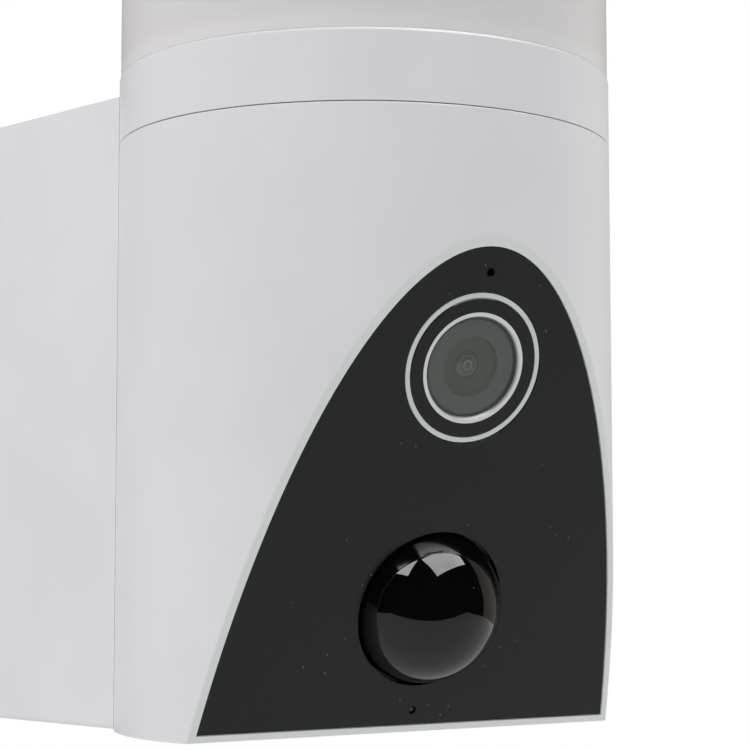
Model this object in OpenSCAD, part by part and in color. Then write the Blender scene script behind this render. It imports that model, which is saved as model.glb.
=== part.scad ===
// Wall floodlight with a camera and a movement sensor in its slanted black front.
// Millimetres, +Z up, front towards -Y. The origin is the middle of the wall plate, on the wall.
// Most modules draw in the body's own frame: its axis is Z and its underside is z = 0.

/* [Body] */
// Diameter of the body and the collar
body_d = 100; // [90:1:130]
// Height of the body, from its underside to the seam under the collar
body_h = 116.1; // [112:0.1:145]
// Wall thickness of the body
body_wall = 2.4; // [2:0.1:3.2]
// Thickness of the body's floor
floor_t = 4; // [3.8:0.1:5]
// Thickness of the slanted wall behind the front panel
front_wall = 2.5; // [2:0.1:3]
// Diameter of the sound holes under the loudspeaker
sound_hole_d = 1.6; // [1.2:0.1:2]

/* [Front panel] */
// Height at which the slanted front leaves the body's round front
panel_top = 92; // [88:0.5:104]
// Lean of the slanted front from vertical, in degrees
panel_tilt = 19.5; // [17:0.1:21]
// Width of the body's rim around the panel
rim_w = 1.35; // [1:0.05:2]
// Depth of the panel's face behind the rim
panel_recess = 0.3; // [0.1:0.05:0.5]
// Thickness of the panel
panel_t = 2.2; // [1.8:0.1:2.6]
// Thickness of the gasket behind the panel
gasket_t = 0.5; // [0.3:0.1:0.8]
// Diameter of the microphone hole, near the top of the panel
mic_hole_d = 1.7; // [1.2:0.1:2.2]
// Distance of the microphone hole from the top of the slant
mic_s = 6.3; // [6:0.1:7]
// Diameter of the status light's hole, near the bottom of the panel
status_hole_d = 1.6; // [1.2:0.1:2]
// Distance of the status light from the panel's lower end
status_rise = 4.4; // [4:0.1:5]

/* [Camera] */
// Distance of the lens from the top of the slant
lens_s = 24.7; // [24:0.1:28]
// Outer diameter of the pale ring round the lens
lens_ring_d = 28.8; // [27:0.1:30]
// Width of the pale ring
lens_ring_w = 0.95; // [0.7:0.05:1.4]
// Outer diameter of the countersunk ring round the window
window_ring_d = 21.5; // [20.5:0.1:22]
// Width of the countersunk ring, seen from in front
window_ring_w = 1.35; // [0.9:0.05:1.6]
// Diameter of the lens barrel
barrel_d = 14; // [12:0.1:14.4]
// Sideways travel of the night filter
filter_travel = 7; // [6.6:0.1:7.2]

/* [Movement sensor] */
// Distance of the sensor dome from the top of the slant
pir_s = 72.5; // [71:0.1:74]
// Diameter of the panel's hole round the dome
pir_hole_d = 31.1; // [30:0.1:33]
// Diameter of the dome
pir_dome_d = 30.4; // [29:0.1:30.6]
// Wall thickness of the dome
pir_dome_t = 1; // [0.8:0.1:1.4]

/* [Light] */
// Height of the collar between the body and the diffuser
collar_h = 13.1; // [12:0.1:18]
// Gap at the seam between the body and the collar
seam = 0.25; // [0.2:0.05:0.8]
// Height of the diffuser that shows
diffuser_h = 112; // [90:1:150]
// Wall thickness of the diffuser
diffuser_t = 2.2; // [1.8:0.1:2.8]
// Step from the collar in to the diffuser
diffuser_step = 0.25; // [0.1:0.05:1]
// Height of the cap
cap_h = 13; // [8:0.5:20]
// Width across the corners of the light column
column_d = 71; // [60:1:76]
// Light chips in each row of a board
chips_high = 7; // [4:1:9]

/* [Arm and wall plate] */
// Distance from the body's axis to the wall
wall_gap = 86; // [80:1:110]
// Height of the arm
arm_h = 127; // [123:0.5:129]
// Width of the arm's sides where they would meet the body's axis
arm_w_body = 83; // [76:1:90]
// Width of the arm at the wall
arm_w_wall = 126.6; // [116:0.5:140]
// Wall thickness of the arm
arm_wall = 2.5; // [2:0.1:3]
// Thickness of the wall plate
plate_t = 1.5; // [1:0.1:2.5]
// Distance between the two slotted screw holes
slot_spacing = 60; // [50:1:64]
// Width of the slotted holes
slot_w = 5; // [4.5:0.1:5.5]
// Length of the slotted holes
slot_l = 12; // [8:0.5:14]
// Bore of the rubber cable inlet
inlet_d = 9; // [7:0.5:10]

/* [Underside] */
// Width of the hinged service cover
cover_w = 20; // [18:0.5:22]
// Length of the hinged service cover, from its hinge line
cover_l = 19; // [18.5:0.1:20]
// Diameter of the cover's hinge pin
pin_d = 1.2; // [1:0.1:1.4]
// Running clearance round the hinge pin
pin_play = 0.05; // [0.03:0.01:0.09]
// Diameter of the reset button
button_d = 3.6; // [3:0.1:4]
// Travel of the reset button
button_travel = 1; // [0.6:0.1:1.2]

/* [Hidden] */
$fn = 96;
big = 400;
eps = 0.01;
play = 0.1;                 // clearance between fixed pieces that slide together
screw_play = 0.05;          // clearance round a screw's shank

body_r = body_d / 2;
inner_r = body_r - body_wall;
plate_mid = arm_h / 2;      // height of the wall plate's middle above the body's underside

// stack behind the slanted face, measured inwards
panel_back = panel_recess + panel_t;
pocket_d = panel_back + gasket_t;
front_d = pocket_d + front_wall;
slant_l = panel_top / cos(panel_tilt);
status_s = slant_l - status_rise;

// camera stack
ring_r = lens_ring_d / 2;
ring_in_r = ring_r - lens_ring_w;
wring_r = window_ring_d / 2;
wring_in_r = wring_r - window_ring_w;
wring_d = 0.3;              // depth of the countersink
window_t = 1;
window_back = panel_recess + wring_d + 0.2 + window_t;
barrel_r = barrel_d / 2;
barrel_front = window_back + 2.3;
barrel_l = 17.5;
sleeve_wall = 1.8;
sleeve_back = front_d + 15.5;
holder_d = sleeve_back + 0.3;       // front face of the holder's base
filter_d = holder_d + 2;            // front of the filter's slot
slide_t = 1.4;
slide_w = 16;
slide_h = 9;
slot_t = slide_t + 0.8;
board_d = filter_d + slot_t + 2.2;  // front face of the camera board
board_t = 1.2;
holder_w = slide_w + filter_travel + 5;
holder_h = 15;

// movement sensor stack
pir_hole_r = pir_hole_d / 2;
dome_r = pir_dome_d / 2;
dome_sink = 3.5;            // the dome's centre lies this far behind the slanted face
dome_flange_r = pir_hole_r + 1.5;
dome_flange_t = 1.4;
retainer_r = dome_flange_r + 2.9;
retainer_in_r = dome_r - 3.1;
retainer_back = front_d + 2;
pir_board_d = front_d + 14;
pir_board_w = 34;

// light stack
deck_t = 2.5;
deck_top = body_h - 3.4;
ledge_t = 3;
spigot_r = inner_r - play;
collar_z = body_h + seam;
collar_top = collar_z + collar_h;
collar_in = inner_r - 3.1;
collar_step = collar_top - 7;       // ledge that the diffuser stands on
seat_seal_t = 0.6;
diff_r = body_r - diffuser_step;
diff_in_r = diff_r - diffuser_t;
neck_r = inner_r - 0.25;
neck_in_r = neck_r - 2.2;
diff_z = collar_top + 0.1;
diff_top = diff_z + diffuser_h;
cap_z = diff_top + 0.2;
column_r = column_d / 2;
column_side = column_r * cos(30);   // distance of the column's flats from the axis
column_z = deck_top + 2.5;
column_top = diff_top - 6;
light_board_t = 1.6;
light_board_w = column_r - 7;
chip_w = 3;
chip_t = 0.8;

// arm stack
arm_r = body_r + 0.05;              // the arm's hollow front, on the body's back
wall_clear = 1;                     // gap between the arm's back edge and the wall
arm_back = wall_gap - wall_clear;
arm_front_r = arm_r + arm_wall;
harness_z = body_h - 46;
arm_screw_x = 18;
arm_screw_r = 1.5;
arm_screw_z = [30, body_h - 34];
wire_d = 2;
wire_pitch = 3.4;
gland_r = 7.5;
case_y = arm_front_r + 2.5;         // front of the driver's case
case_back = wall_gap - plate_t - 7.5;
case_x = [-46, 12];
case_z = [20, 106];
case_wall = 1.8;
ear_z = [case_z[0] - 5, case_z[1] + 5];
ear_x = (case_x[0] + case_x[1]) / 2;
tab_z = 8;                          // underside of the plate's lower tab
tab_l = 11;
lock_x = 30;
lock_y = wall_gap - plate_t - 6;
inlet_x = 32;
inlet_z = 42;
inlet_r = inlet_d / 2;
grommet_r = inlet_r + 4.4;

// underside
hinge_y = 9;
hinge_z = 1.6;
hinge_r = 1.5;
cover_t = 1.6;
cover_x = 22;
cover_seal_t = 0.6;
cover_gap = 0.3;
cover_recess = cover_t + cover_seal_t + 0.05;
barrel_gap = 1.9;           // clear room in front of the hinge line
well_x = [cover_x - cover_w / 2 + 2, cover_x + cover_w / 2 - 2];
well_y = [hinge_y + 3.5, hinge_y + cover_l - 2.5];
well_wall = 1.5;
well_roof = floor_t + 6.5;
well_top = well_roof + 1.5;
card_y = well_y[0] + 2.7;
card_w = 11.6;
button_r = button_d / 2;
button_x = well_x[1] - 3.2;
button_y = well_y[1] - 4;
flange_r = button_r + 0.8;
flange_t = 0.8;
button_low = floor_t + 4.2;
switch_z = well_top + 0.05 + flange_t + button_travel + 0.05;
speaker_x = -22;
speaker_y = 17;
speaker_r = 13;

// boards
chassis_y = inner_r - 13;
chassis_t = 2;
chassis_x = 27;
board_y = chassis_y - 3.6;  // front face of the main board
main_x = 31;
main_z = [20, body_h - 14];
post_z = [main_z[0] + 5, main_z[1] - 5];

// ---- places ----
module in_place() translate([0, -wall_gap, -plate_mid]) children();

// Draws on the slanted face: s down the slant from its top, d inwards, +Z outwards.
module on_slant(s = 0, d = 0)
    translate([0, -body_r, panel_top]) rotate([90 + panel_tilt, 0, 0]) translate([0, -s, -d]) children();

// Everything in front of the plane that lies d behind the slanted face.
module before_slant(d) on_slant(0, d) translate([-big / 2, -big, 0]) cube([big, 2 * big, big]);

// Half-width of the arm's outside at a distance y behind the body's axis.
function arm_half(y) = (arm_w_body + (arm_w_wall - arm_w_body) * y / wall_gap) / 2;

// Outline of the slanted face, drawn in by i: an arc of the ellipse that the slant cuts, and a straight foot.
function slant_a() = body_r / sin(panel_tilt);
function edge_point(t, i) =
    let (n = [cos(t) / body_r, sin(t) / slant_a()], m = i / norm(n))
    [body_r * cos(t) - m * n[0], slant_a() * (sin(t) - 1) - m * n[1]];
edge_low = asin(1 - (slant_l + 2) / slant_a());
edge_steps = 60;
module slant_outline(i) intersection() {
    polygon([for (k = [0:edge_steps]) edge_point(edge_low + (180 - 2 * edge_low) * k / edge_steps, i)]);
    translate([-body_r, i - slant_l]) square([2 * body_r, slant_l]);
}

// ---- shared shapes ----
module tube(r_out, r_in, h) difference() {
    cylinder(r = r_out, h = h);
    translate([0, 0, -1]) cylinder(r = r_in, h = h + 2);
}

module turned(points) rotate_extrude() polygon(points);

module block(x, y, z) translate([x[0], y[0], z[0]]) cube([x[1] - x[0], y[1] - y[0], z[1] - z[0]]);

module along_y(y) translate([0, y, 0]) rotate([-90, 0, 0]) children();

// Pan-head screw: the underside of its head is at z = 0 and its shank points down.
module screw(r, l) difference() {
    union() {
        translate([0, 0, -l]) cylinder(r = r, h = l);
        cylinder(r = 1.9 * r, h = r * 1.1);
    }
    for (a = [0, 90]) rotate([0, 0, a])
        translate([-1.2 * r, -0.22 * r, 0.5 * r]) cube([2.4 * r, 0.44 * r, r]);
}

module tray(x, y, z, t) difference() {
    block(x, y, z);
    block([x[0] + t, x[1] - t], [y[0] + t, y[1] + 1], [z[0] + t, z[1] - t]);
}

module arm_plan(inset, back) polygon([
    [-arm_half(0) + inset, 0], [-arm_half(back) + inset, back],
    [arm_half(back) - inset, back], [arm_half(0) - inset, 0]]);

// ---- body ----
deck_angles = [90, 210, 330];
boss_ring = inner_r - 4.4;

module body_shell() color("#ececee") in_place() difference() {
    union() {
        difference() {
            cylinder(r = body_r, h = body_h);
            difference() {
                translate([0, 0, floor_t]) cylinder(r = inner_r, h = body_h);
                before_slant(front_d);
            }
        }
        translate([0, 0, deck_top - deck_t - ledge_t]) tube(inner_r + eps, inner_r - 2.6, ledge_t);
        intersection() {
            cylinder(r = inner_r + eps, h = body_h);
            for (a = deck_angles) rotate([0, 0, a])
                translate([boss_ring, 0, deck_top - deck_t - 12]) cylinder(r = 3.5, h = 12);
        }
    }
    before_slant(0);
    on_slant(0, pocket_d) linear_extrude(pocket_d + 1) slant_outline(rim_w);
    on_slant(lens_s, front_d + 1) cylinder(r = ring_r + 0.15, h = front_d);
    on_slant(pir_s, front_d + 1) cylinder(r = dome_flange_r + 0.2, h = front_d);
    on_slant(mic_s, front_d + 1) cylinder(d = mic_hole_d + 0.3, h = front_d);
    on_slant(status_s, front_d + 4) cylinder(d = status_hole_d + 0.3, h = front_d + 3);
    for (a = deck_angles) rotate([0, 0, a]) translate([boss_ring, 0, deck_top - deck_t - 9.5])
        cylinder(r = 1.25 + screw_play, h = 12);
    for (a = [0:120:240]) on_slant(pir_s, front_d - 1.8) rotate([0, 0, a + 30])
        translate([retainer_r - 1.6, 0, -5]) cylinder(r = 0.8 + screw_play, h = 5);
    along_y(body_r - 8) translate([0, -harness_z, 0]) cylinder(r = gland_r + play, h = 16);
    for (x = [-arm_screw_x, arm_screw_x], z = arm_screw_z) along_y(body_r - 16) translate([x, -z, 0])
        cylinder(r = arm_screw_r + screw_play, h = 20);
    speaker_holes();
    // recess, hinge groove and well under the service cover
    block([cover_x - cover_w / 2 - cover_gap, cover_x + cover_w / 2 + cover_gap],
          [hinge_y - barrel_gap, hinge_y + cover_l + cover_gap], [-1, cover_recess]);
    block([cover_x - cover_w / 2 - cover_gap, cover_x + cover_w / 2 + cover_gap],
          [hinge_y - barrel_gap, hinge_y + barrel_gap], [-1, hinge_z + hinge_r + 0.15]);
    block(well_x, well_y, [-1, floor_t + 1]);
    translate([cover_x, hinge_y + cover_l, -1]) cylinder(r = 3, h = 1.8);
    translate([cover_x - cover_w / 2 - 2.8, hinge_y, hinge_z]) rotate([0, 90, 0])
        cylinder(d = pin_d + 0.02, h = cover_w + 5.6);
    for (x = [-15, 15]) translate([x, chassis_y + 6, floor_t - 3]) cylinder(r = 1.25 + screw_play, h = 4);
}

module speaker_holes() for (i = [-3:3], j = [-3:3])
    let (x = 3.2 * (i + 0.5 * (j % 2)), y = 2.8 * j)
        if (norm([x, y]) < speaker_r - 3.5)
            translate([speaker_x + x, speaker_y + y, -1])
                cylinder(d = sound_hole_d, h = floor_t + 2, $fn = 24);

module body_seal() color("#2a2a2a") in_place()
    translate([0, 0, (deck_top + body_h) / 2]) rotate_extrude() translate([spigot_r - 0.75, 0])
        circle(r = 0.65, $fn = 24);

// ---- front panel ----
module front_panel() color("#1c1d1d") in_place() difference() {
    on_slant(0, panel_back) linear_extrude(panel_t) slant_outline(rim_w + play);
    on_slant(lens_s, panel_back + 1) cylinder(r = ring_r + play, h = panel_t + 2);
    on_slant(pir_s, panel_back + 1) cylinder(r = pir_hole_r, h = panel_t + 2);
    on_slant(mic_s, panel_back + 1) cylinder(d = mic_hole_d, h = panel_t + 2);
    on_slant(status_s, panel_back + 1) cylinder(d = status_hole_d, h = panel_t + 2);
}

module panel_gasket() color("#303030") in_place() difference() {
    on_slant(0, pocket_d) linear_extrude(gasket_t) slant_outline(rim_w + play);
    on_slant(0, pocket_d + 1) linear_extrude(gasket_t + 2) slant_outline(rim_w + 1.9);
}

// ---- camera ----
module lens_outer_ring() color("#c9cccb") in_place() on_slant(lens_s, panel_back)
    tube(ring_r, ring_in_r, panel_back - 0.1);

// Black annulus, shoulder for the pale ring, flange behind the body's wall and sleeve for the holder.
module lens_bezel() color("#141515") in_place() on_slant(lens_s) turned([
    [ring_in_r - 0.02, -panel_recess], [ring_in_r - 0.02, -panel_back], [ring_r, -panel_back],
    [ring_r, -front_d], [ring_r + 1.7, -front_d], [ring_r + 1.7, -front_d - 2],
    [barrel_r + 1.6 + sleeve_wall, -front_d - 2], [barrel_r + 1.6 + sleeve_wall, -sleeve_back],
    [barrel_r + 1.6, -sleeve_back], [barrel_r + 1.6, -front_d], [barrel_r + 0.5, -front_d],
    [barrel_r + 0.5, -window_back], [wring_r + 0.05, -window_back], [wring_r + 0.05, -panel_recess]]);

module window_ring() color("#d9dbda") in_place() on_slant(lens_s) turned([
    [wring_r, -panel_recess - 0.1], [wring_in_r, -panel_recess - wring_d],
    [wring_in_r, -panel_recess - wring_d - 0.2], [wring_r, -panel_recess - wring_d - 0.2]]);

module lens_window() color("#2b312d") in_place() on_slant(lens_s, window_back)
    cylinder(r = wring_r - 0.05, h = window_t);

module camera_barrel() color("#3a3d3c") in_place() on_slant(lens_s) turned([
    [barrel_r, -barrel_front], [barrel_r, -barrel_front - barrel_l], [3, -barrel_front - barrel_l],
    [3, -barrel_front - 5], [2.7, -barrel_front - 5], [2.7, -barrel_front - 2.4], [5.4, -barrel_front]]);

module front_lens() color("#39404a") in_place() on_slant(lens_s, barrel_front + 4.4) intersection() {
    cylinder(r = 2.65, h = 2.6);
    translate([0, 0, -2.6]) sphere(r = 5);
}

module lens_holder() color("#202122") in_place() on_slant(lens_s) difference() {
    union() {
        translate([0, 0, -holder_d]) cylinder(r = barrel_r + 1.5, h = holder_d - front_d - 0.2);
        translate([-holder_w / 2, -holder_h / 2, -board_d])
            cube([holder_w, holder_h, board_d - holder_d]);
    }
    translate([0, 0, -filter_d - 1]) cylinder(r = barrel_r + 0.05, h = big);
    translate([-slide_w / 2 - filter_travel / 2 - 0.5, -slide_h / 2 - 0.3, -filter_d - slot_t])
        cube([slide_w + filter_travel + 1, slide_h + 0.6, slot_t]);
    translate([-5, -5, -board_d - 1]) cube([10, 10, 3.4]);
    for (x = [-1, 1]) translate([x * (holder_w / 2 - 1.9), 0, -board_d - 1])
        cylinder(r = 0.8 + screw_play, h = 3.1);
}

slide_off = filter_travel / 2;
module filter_slide() color("#55585a") in_place() on_slant(lens_s, filter_d + 0.4 + slide_t)
    translate([-slide_off, 0, 0]) difference() {
        translate([-slide_w / 2, -slide_h / 2, 0]) cube([slide_w, slide_h, slide_t]);
        for (x = [-slide_off, slide_off]) translate([x - 2.9, -2.9, -1]) cube([5.8, 5.8, slide_t + 2]);
    }

module filter_glass() color("#7fb6c4") in_place() on_slant(lens_s, filter_d + 1.4)
    translate([-2.9, -2.9, 0]) cube([5.8, 5.8, 0.7]);

module image_sensor() color("#4b5563") in_place() on_slant(lens_s, board_d) translate([-4, -3.5, 0])
    cube([8, 7, 1]);

module camera_board() color("#1f5b3a") in_place() on_slant(lens_s, board_d + board_t) difference() {
    translate([-17, -13, 0]) cube([34, 26, board_t]);
    for (x = [-1, 1]) translate([x * (holder_w / 2 - 1.9), 0, -1])
        cylinder(r = 0.8 + screw_play, h = board_t + 2);
}

module camera_screws() color("#b9bcc0") in_place() on_slant(lens_s, board_d + board_t)
    for (x = [-1, 1]) translate([x * (holder_w / 2 - 1.9), 0, 0]) rotate([180, 0, 0])
        screw(0.8, board_t + 2);

// ---- movement sensor ----
module pir_dome() color("#0c0c0d") in_place() on_slant(pir_s) difference() {
    union() {
        translate([0, 0, -dome_sink]) intersection() {
            sphere(r = dome_r);
            translate([0, 0, big / 2]) cube(big, center = true);
        }
        translate([0, 0, -panel_back - 0.1 - dome_flange_t])
            cylinder(r = dome_flange_r, h = dome_flange_t);
    }
    translate([0, 0, -dome_sink]) sphere(r = dome_r - pir_dome_t);
    translate([0, 0, -dome_sink - 10]) cylinder(r = dome_r - pir_dome_t, h = 10);
}

dome_back = panel_back + 0.1 + dome_flange_t;
module pir_retainer() color("#26282a") in_place() on_slant(pir_s) difference() {
    union() {
        turned([[retainer_in_r, -dome_back - 0.05], [dome_flange_r, -dome_back - 0.05],
            [dome_flange_r, -front_d - 0.05],
            [retainer_r, -front_d - 0.05], [retainer_r, -retainer_back], [retainer_in_r, -retainer_back]]);
        for (x = [-14.4, 14.4]) translate([x, 0, -pir_board_d])
            cylinder(r = 1.8, h = pir_board_d - retainer_back + eps);
    }
    for (a = [0:120:240]) rotate([0, 0, a + 30]) translate([retainer_r - 1.6, 0, -retainer_back - 1])
        cylinder(r = 0.8 + screw_play, h = 6);
    translate([0, pir_s - status_s, -retainer_back - 1]) cylinder(r = status_hole_d / 2 + 0.6, h = 6);
}

module pir_retainer_screws() color("#b9bcc0") in_place() on_slant(pir_s, retainer_back)
    for (a = [0:120:240]) rotate([0, 0, a + 30]) translate([retainer_r - 1.6, 0, 0]) rotate([180, 0, 0])
        screw(0.8, 3.4);

module pir_sensor() color("#c4c6c8") in_place() on_slant(pir_s, pir_board_d) {
    cylinder(r = 4.9, h = 0.8);
    cylinder(r = 4.1, h = 4.2);
    translate([-2, -1.6, 4.2 - eps]) cube([4, 3.2, 0.3]);
}

module pir_board() color("#1f5b3a") in_place() on_slant(0, pir_board_d + board_t)
    translate([-pir_board_w / 2, -status_s - 2.4, 0])
        cube([pir_board_w, status_s + 2.4 - pir_s + 17, board_t]);

module status_light_pipe() color("#dfe9f2", 0.6) in_place() on_slant(status_s, pir_board_d)
    cylinder(d = status_hole_d - 0.1, h = pir_board_d - panel_recess - 0.4);

module mic_boot() color("#222222") in_place() on_slant(mic_s, front_d + 5) difference() {
    cylinder(r = 2.1, h = 5);
    translate([0, 0, -1]) cylinder(r = 1.5, h = 4.2);
    cylinder(d = mic_hole_d, h = 6);
}

module mic_capsule() color("#a7a9ab") in_place() on_slant(mic_s, front_d + 5) translate([0, 0, 0.6])
    cylinder(r = 1.45, h = 2.5);

// ---- loudspeaker ----
module speaker() color("#2d2f33") in_place() translate([speaker_x, speaker_y, floor_t]) difference() {
    union() {
        cylinder(r = speaker_r, h = 4);
        cylinder(r = 7, h = 8);
    }
    translate([0, 0, -1]) cylinder(r = speaker_r - 1.6, h = 4);
}

module speaker_cone() color("#191919") in_place() translate([speaker_x, speaker_y, floor_t + 1.2])
    difference() {
        cylinder(r1 = speaker_r - 1.7, r2 = 5, h = 1.2);
        translate([0, 0, -0.5]) cylinder(r1 = speaker_r - 1.9, r2 = 4.2, h = 1.3);
    }

// ---- service cover, card slot and reset button ----
module service_cover() color("#e4e4e6") in_place() difference() {
    union() {
        block([cover_x - cover_w / 2, cover_x + cover_w / 2], [hinge_y, hinge_y + cover_l], [0, cover_t]);
        translate([cover_x - cover_w / 2, hinge_y, hinge_z]) rotate([0, 90, 0])
            cylinder(r = hinge_r, h = cover_w);
        block([cover_x - 3, cover_x + 3], [well_y[1] - 1.4, well_y[1] - 0.4],
            [cover_t - eps, cover_recess + 1]);
    }
    translate([cover_x - big / 2, hinge_y, hinge_z]) rotate([0, 90, 0])
        cylinder(r = pin_d / 2 + pin_play, h = big);
}

module cover_seal() color("#2a2a2a") in_place() difference() {
    block([well_x[0] - 1.1, well_x[1] + 1.1], [well_y[0] - 1.1, well_y[1] + 1.1],
        [cover_t, cover_t + cover_seal_t]);
    block([well_x[0] + 0.2, well_x[1] - 0.2], [well_y[0] + 0.2, well_y[1] - 0.2],
        [cover_t - 1, cover_t + cover_seal_t + 1]);
}

module cover_pin() color("#b9bcc0") in_place() translate([cover_x - cover_w / 2 - 2.6, hinge_y, hinge_z])
    rotate([0, 90, 0]) cylinder(d = pin_d, h = cover_w + 5.2);

module service_well() color("#3b3d40") in_place() difference() {
    block([well_x[0] - well_wall, well_x[1] + well_wall], [well_y[0] - well_wall, well_y[1] + well_wall],
          [floor_t, well_top]);
    block(well_x, well_y, [floor_t - 1, well_roof]);
    block([well_x[0] + 0.3, well_x[0] + 0.3 + card_w], [card_y - 0.8, card_y + 0.8],
        [well_roof - 1, well_top + 1]);
    translate([button_x, button_y, well_roof - 1]) cylinder(r = button_r + 0.08, h = 4);
}

module card_socket() color("#c4c6c8") in_place() difference() {
    block([well_x[0] - 0.4, well_x[0] + 1 + card_w], [card_y - 1.4, card_y + 1.6],
        [well_top, well_top + 15]);
    block([well_x[0] + 0.3, well_x[0] + 0.3 + card_w], [card_y - 0.6, card_y + 0.6],
        [well_top - 1, well_top + 14]);
}

module card_board() color("#1f5b3a") in_place()
    block([well_x[0] - 1, well_x[1] + 1], [card_y + 1.6, card_y + 2.8], [well_top, well_top + 18]);

module reset_button() color("#d8453a") in_place() translate([button_x, button_y, 0]) {
    translate([0, 0, button_low]) cylinder(r = button_r, h = well_top + 0.1 - button_low);
    translate([0, 0, well_top + 0.05]) cylinder(r = flange_r, h = flange_t);
}

module reset_switch() color("#2f3133") in_place() {
    translate([button_x, button_y, switch_z]) cylinder(r = 0.9, h = 0.9);
    block([button_x - 3, button_x + 3], [card_y + 2.8, button_y + 2.6], [switch_z + 0.8, switch_z + 4.4]);
}

// ---- boards ----
module chassis_plate() color("#4a4d50") in_place() difference() {
    union() {
        block([-chassis_x, chassis_x], [chassis_y, chassis_y + chassis_t], [floor_t, main_z[1]]);
        block([-18, 18], [chassis_y, chassis_y + 9], [floor_t, floor_t + 2.5]);
        for (x = [-23, 23], z = post_z) along_y(board_y + board_t + 0.4) translate([x, -z, 0])
            cylinder(r = 2.4, h = chassis_y - board_y - board_t - 0.4 + eps);
    }
    for (x = [-15, 15]) translate([x, chassis_y + 6, floor_t - 1]) cylinder(r = 1.25 + screw_play, h = 5);
    for (x = [-23, 23], z = post_z) along_y(board_y) translate([x, -z, 0])
        cylinder(r = 1 + screw_play, h = 6);
    block([-12, 12], [chassis_y - 1, chassis_y + chassis_t + 1], [harness_z - 7, harness_z + 7]);
}

module chassis_screws() color("#b9bcc0") in_place() for (x = [-15, 15])
    translate([x, chassis_y + 6, floor_t + 2.5]) screw(1.25, 5.2);

module main_board() color("#1f5b3a") in_place() difference() {
    block([-main_x, main_x], [board_y + 0.4, board_y + 0.4 + board_t], main_z);
    for (x = [-23, 23], z = post_z) along_y(board_y - 1) translate([x, -z, 0])
        cylinder(r = 1 + screw_play, h = 5);
}

module board_screws() color("#b9bcc0") in_place() for (x = [-23, 23], z = post_z)
    along_y(board_y + 0.4) translate([x, -z, 0]) rotate([180, 0, 0]) screw(1, 4.6);

module processor_shield() color("#a7a9ab") in_place()
    block([-18, 8], [board_y - 2.8, board_y + 0.4], [main_z[0] + 24, main_z[0] + 50]);

module radio_module() color("#c4c6c8") in_place() union() {
    block([-12, 6], [board_y - 0.6, board_y + 0.4], [main_z[1] - 24, main_z[1]]);
    block([-10.5, 4.5], [board_y - 2.4, board_y - 0.6], [main_z[1] - 22.5, main_z[1] - 7]);
}

// ---- light ----
module light_deck() color("#f2f2f2") in_place() difference() {
    translate([0, 0, deck_top - deck_t]) cylinder(r = inner_r - play, h = deck_t);
    translate([0, 0, deck_top - deck_t - 1]) cylinder(r = 8, h = deck_t + 2);
    for (a = deck_angles) rotate([0, 0, a]) translate([boss_ring, 0, 0])
        cylinder(r = 1.25 + screw_play, h = big);
    for (a = deck_angles) rotate([0, 0, a + 60]) translate([column_r - 12, 0, 0])
        cylinder(r = 1.25 + screw_play, h = big);
}

module deck_screws() color("#b9bcc0") in_place() for (a = deck_angles) rotate([0, 0, a])
    translate([boss_ring, 0, deck_top]) screw(1.25, 10);

module collar_ring() color("#ececee") in_place() difference() {
    turned([[collar_in, deck_top], [spigot_r, deck_top], [spigot_r, collar_z], [body_r, collar_z],
        [body_r, collar_top], [inner_r, collar_top], [inner_r, collar_step], [collar_in, collar_step]]);
    translate([0, 0, (deck_top + body_h) / 2 - 0.8]) tube(body_r, spigot_r - 1.5, 1.6);
    for (a = deck_angles) rotate([0, 0, a]) translate([boss_ring, 0, deck_top - 1])
        cylinder(r = 2.8, h = 3);
}

module diffuser() color("#e9e6e4", 0.9) in_place() turned([
    [neck_in_r, collar_step + seat_seal_t], [neck_r, collar_step + seat_seal_t], [neck_r, diff_z],
    [diff_r, diff_z], [diff_r, diff_top], [diff_in_r, diff_top], [diff_in_r, diff_z + 3],
        [neck_in_r, diff_z + 1.6]]);

module diffuser_seal() color("#2a2a2a") in_place() translate([0, 0, collar_step])
    tube(neck_r, neck_in_r, seat_seal_t);

module light_column() color("#b8bbbe") in_place() difference() {
    union() {
        translate([0, 0, deck_top]) cylinder(r = column_r + 1, h = column_z - deck_top);
        translate([0, 0, column_z - eps]) cylinder(r = column_r, h = column_top - column_z, $fn = 6);
    }
    translate([0, 0, column_z]) cylinder(r = column_r - 3.5, h = big, $fn = 6);
    translate([0, 0, deck_top - 1]) cylinder(r = 8, h = big);
    for (a = deck_angles) rotate([0, 0, a + 60]) translate([column_r - 12, 0, deck_top - 1])
        cylinder(r = 1.25 + screw_play, h = 4);
}

module column_screws() color("#b9bcc0") in_place() for (a = deck_angles) rotate([0, 0, a + 60])
    translate([column_r - 12, 0, column_z]) screw(1.25, column_z - deck_top + deck_t);

light_board_z = [column_z + 4, column_top - 3];
module on_flats() for (a = [0:60:300]) rotate([0, 0, a + 30]) translate([column_side, 0, 0]) children();

module light_boards() color("#f4f4f2") in_place() on_flats()
    block([eps, light_board_t], [-light_board_w / 2, light_board_w / 2], light_board_z);

module light_chips() color("#f3df7c") in_place() on_flats()
    for (y = [-light_board_w / 4, light_board_w / 4], k = [0:chips_high - 1])
        let (z = light_board_z[0] + (light_board_z[1] - light_board_z[0]) * (k + 0.5) / chips_high)
            block([light_board_t, light_board_t + chip_t], [y - chip_w / 2, y + chip_w / 2],
                [z - chip_w / 2, z + chip_w / 2]);

cap_round = 4;
cap_wall = 2.2;
module top_cap() color("#ececee") in_place() turned(concat(
    [[diff_in_r - 2.3, cap_z - 6], [diff_in_r - 0.15, cap_z - 6], [diff_in_r - 0.15, cap_z],
        [body_r, cap_z]],
    [for (a = [0:10:90]) [body_r - cap_round + cap_round * cos(a),
        cap_z + cap_h - cap_round + cap_round * sin(a)]],
    [[0, cap_z + cap_h], [0, cap_z + cap_h - cap_wall], [diff_in_r - 2.3, cap_z + cap_h - cap_wall]]));

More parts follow.
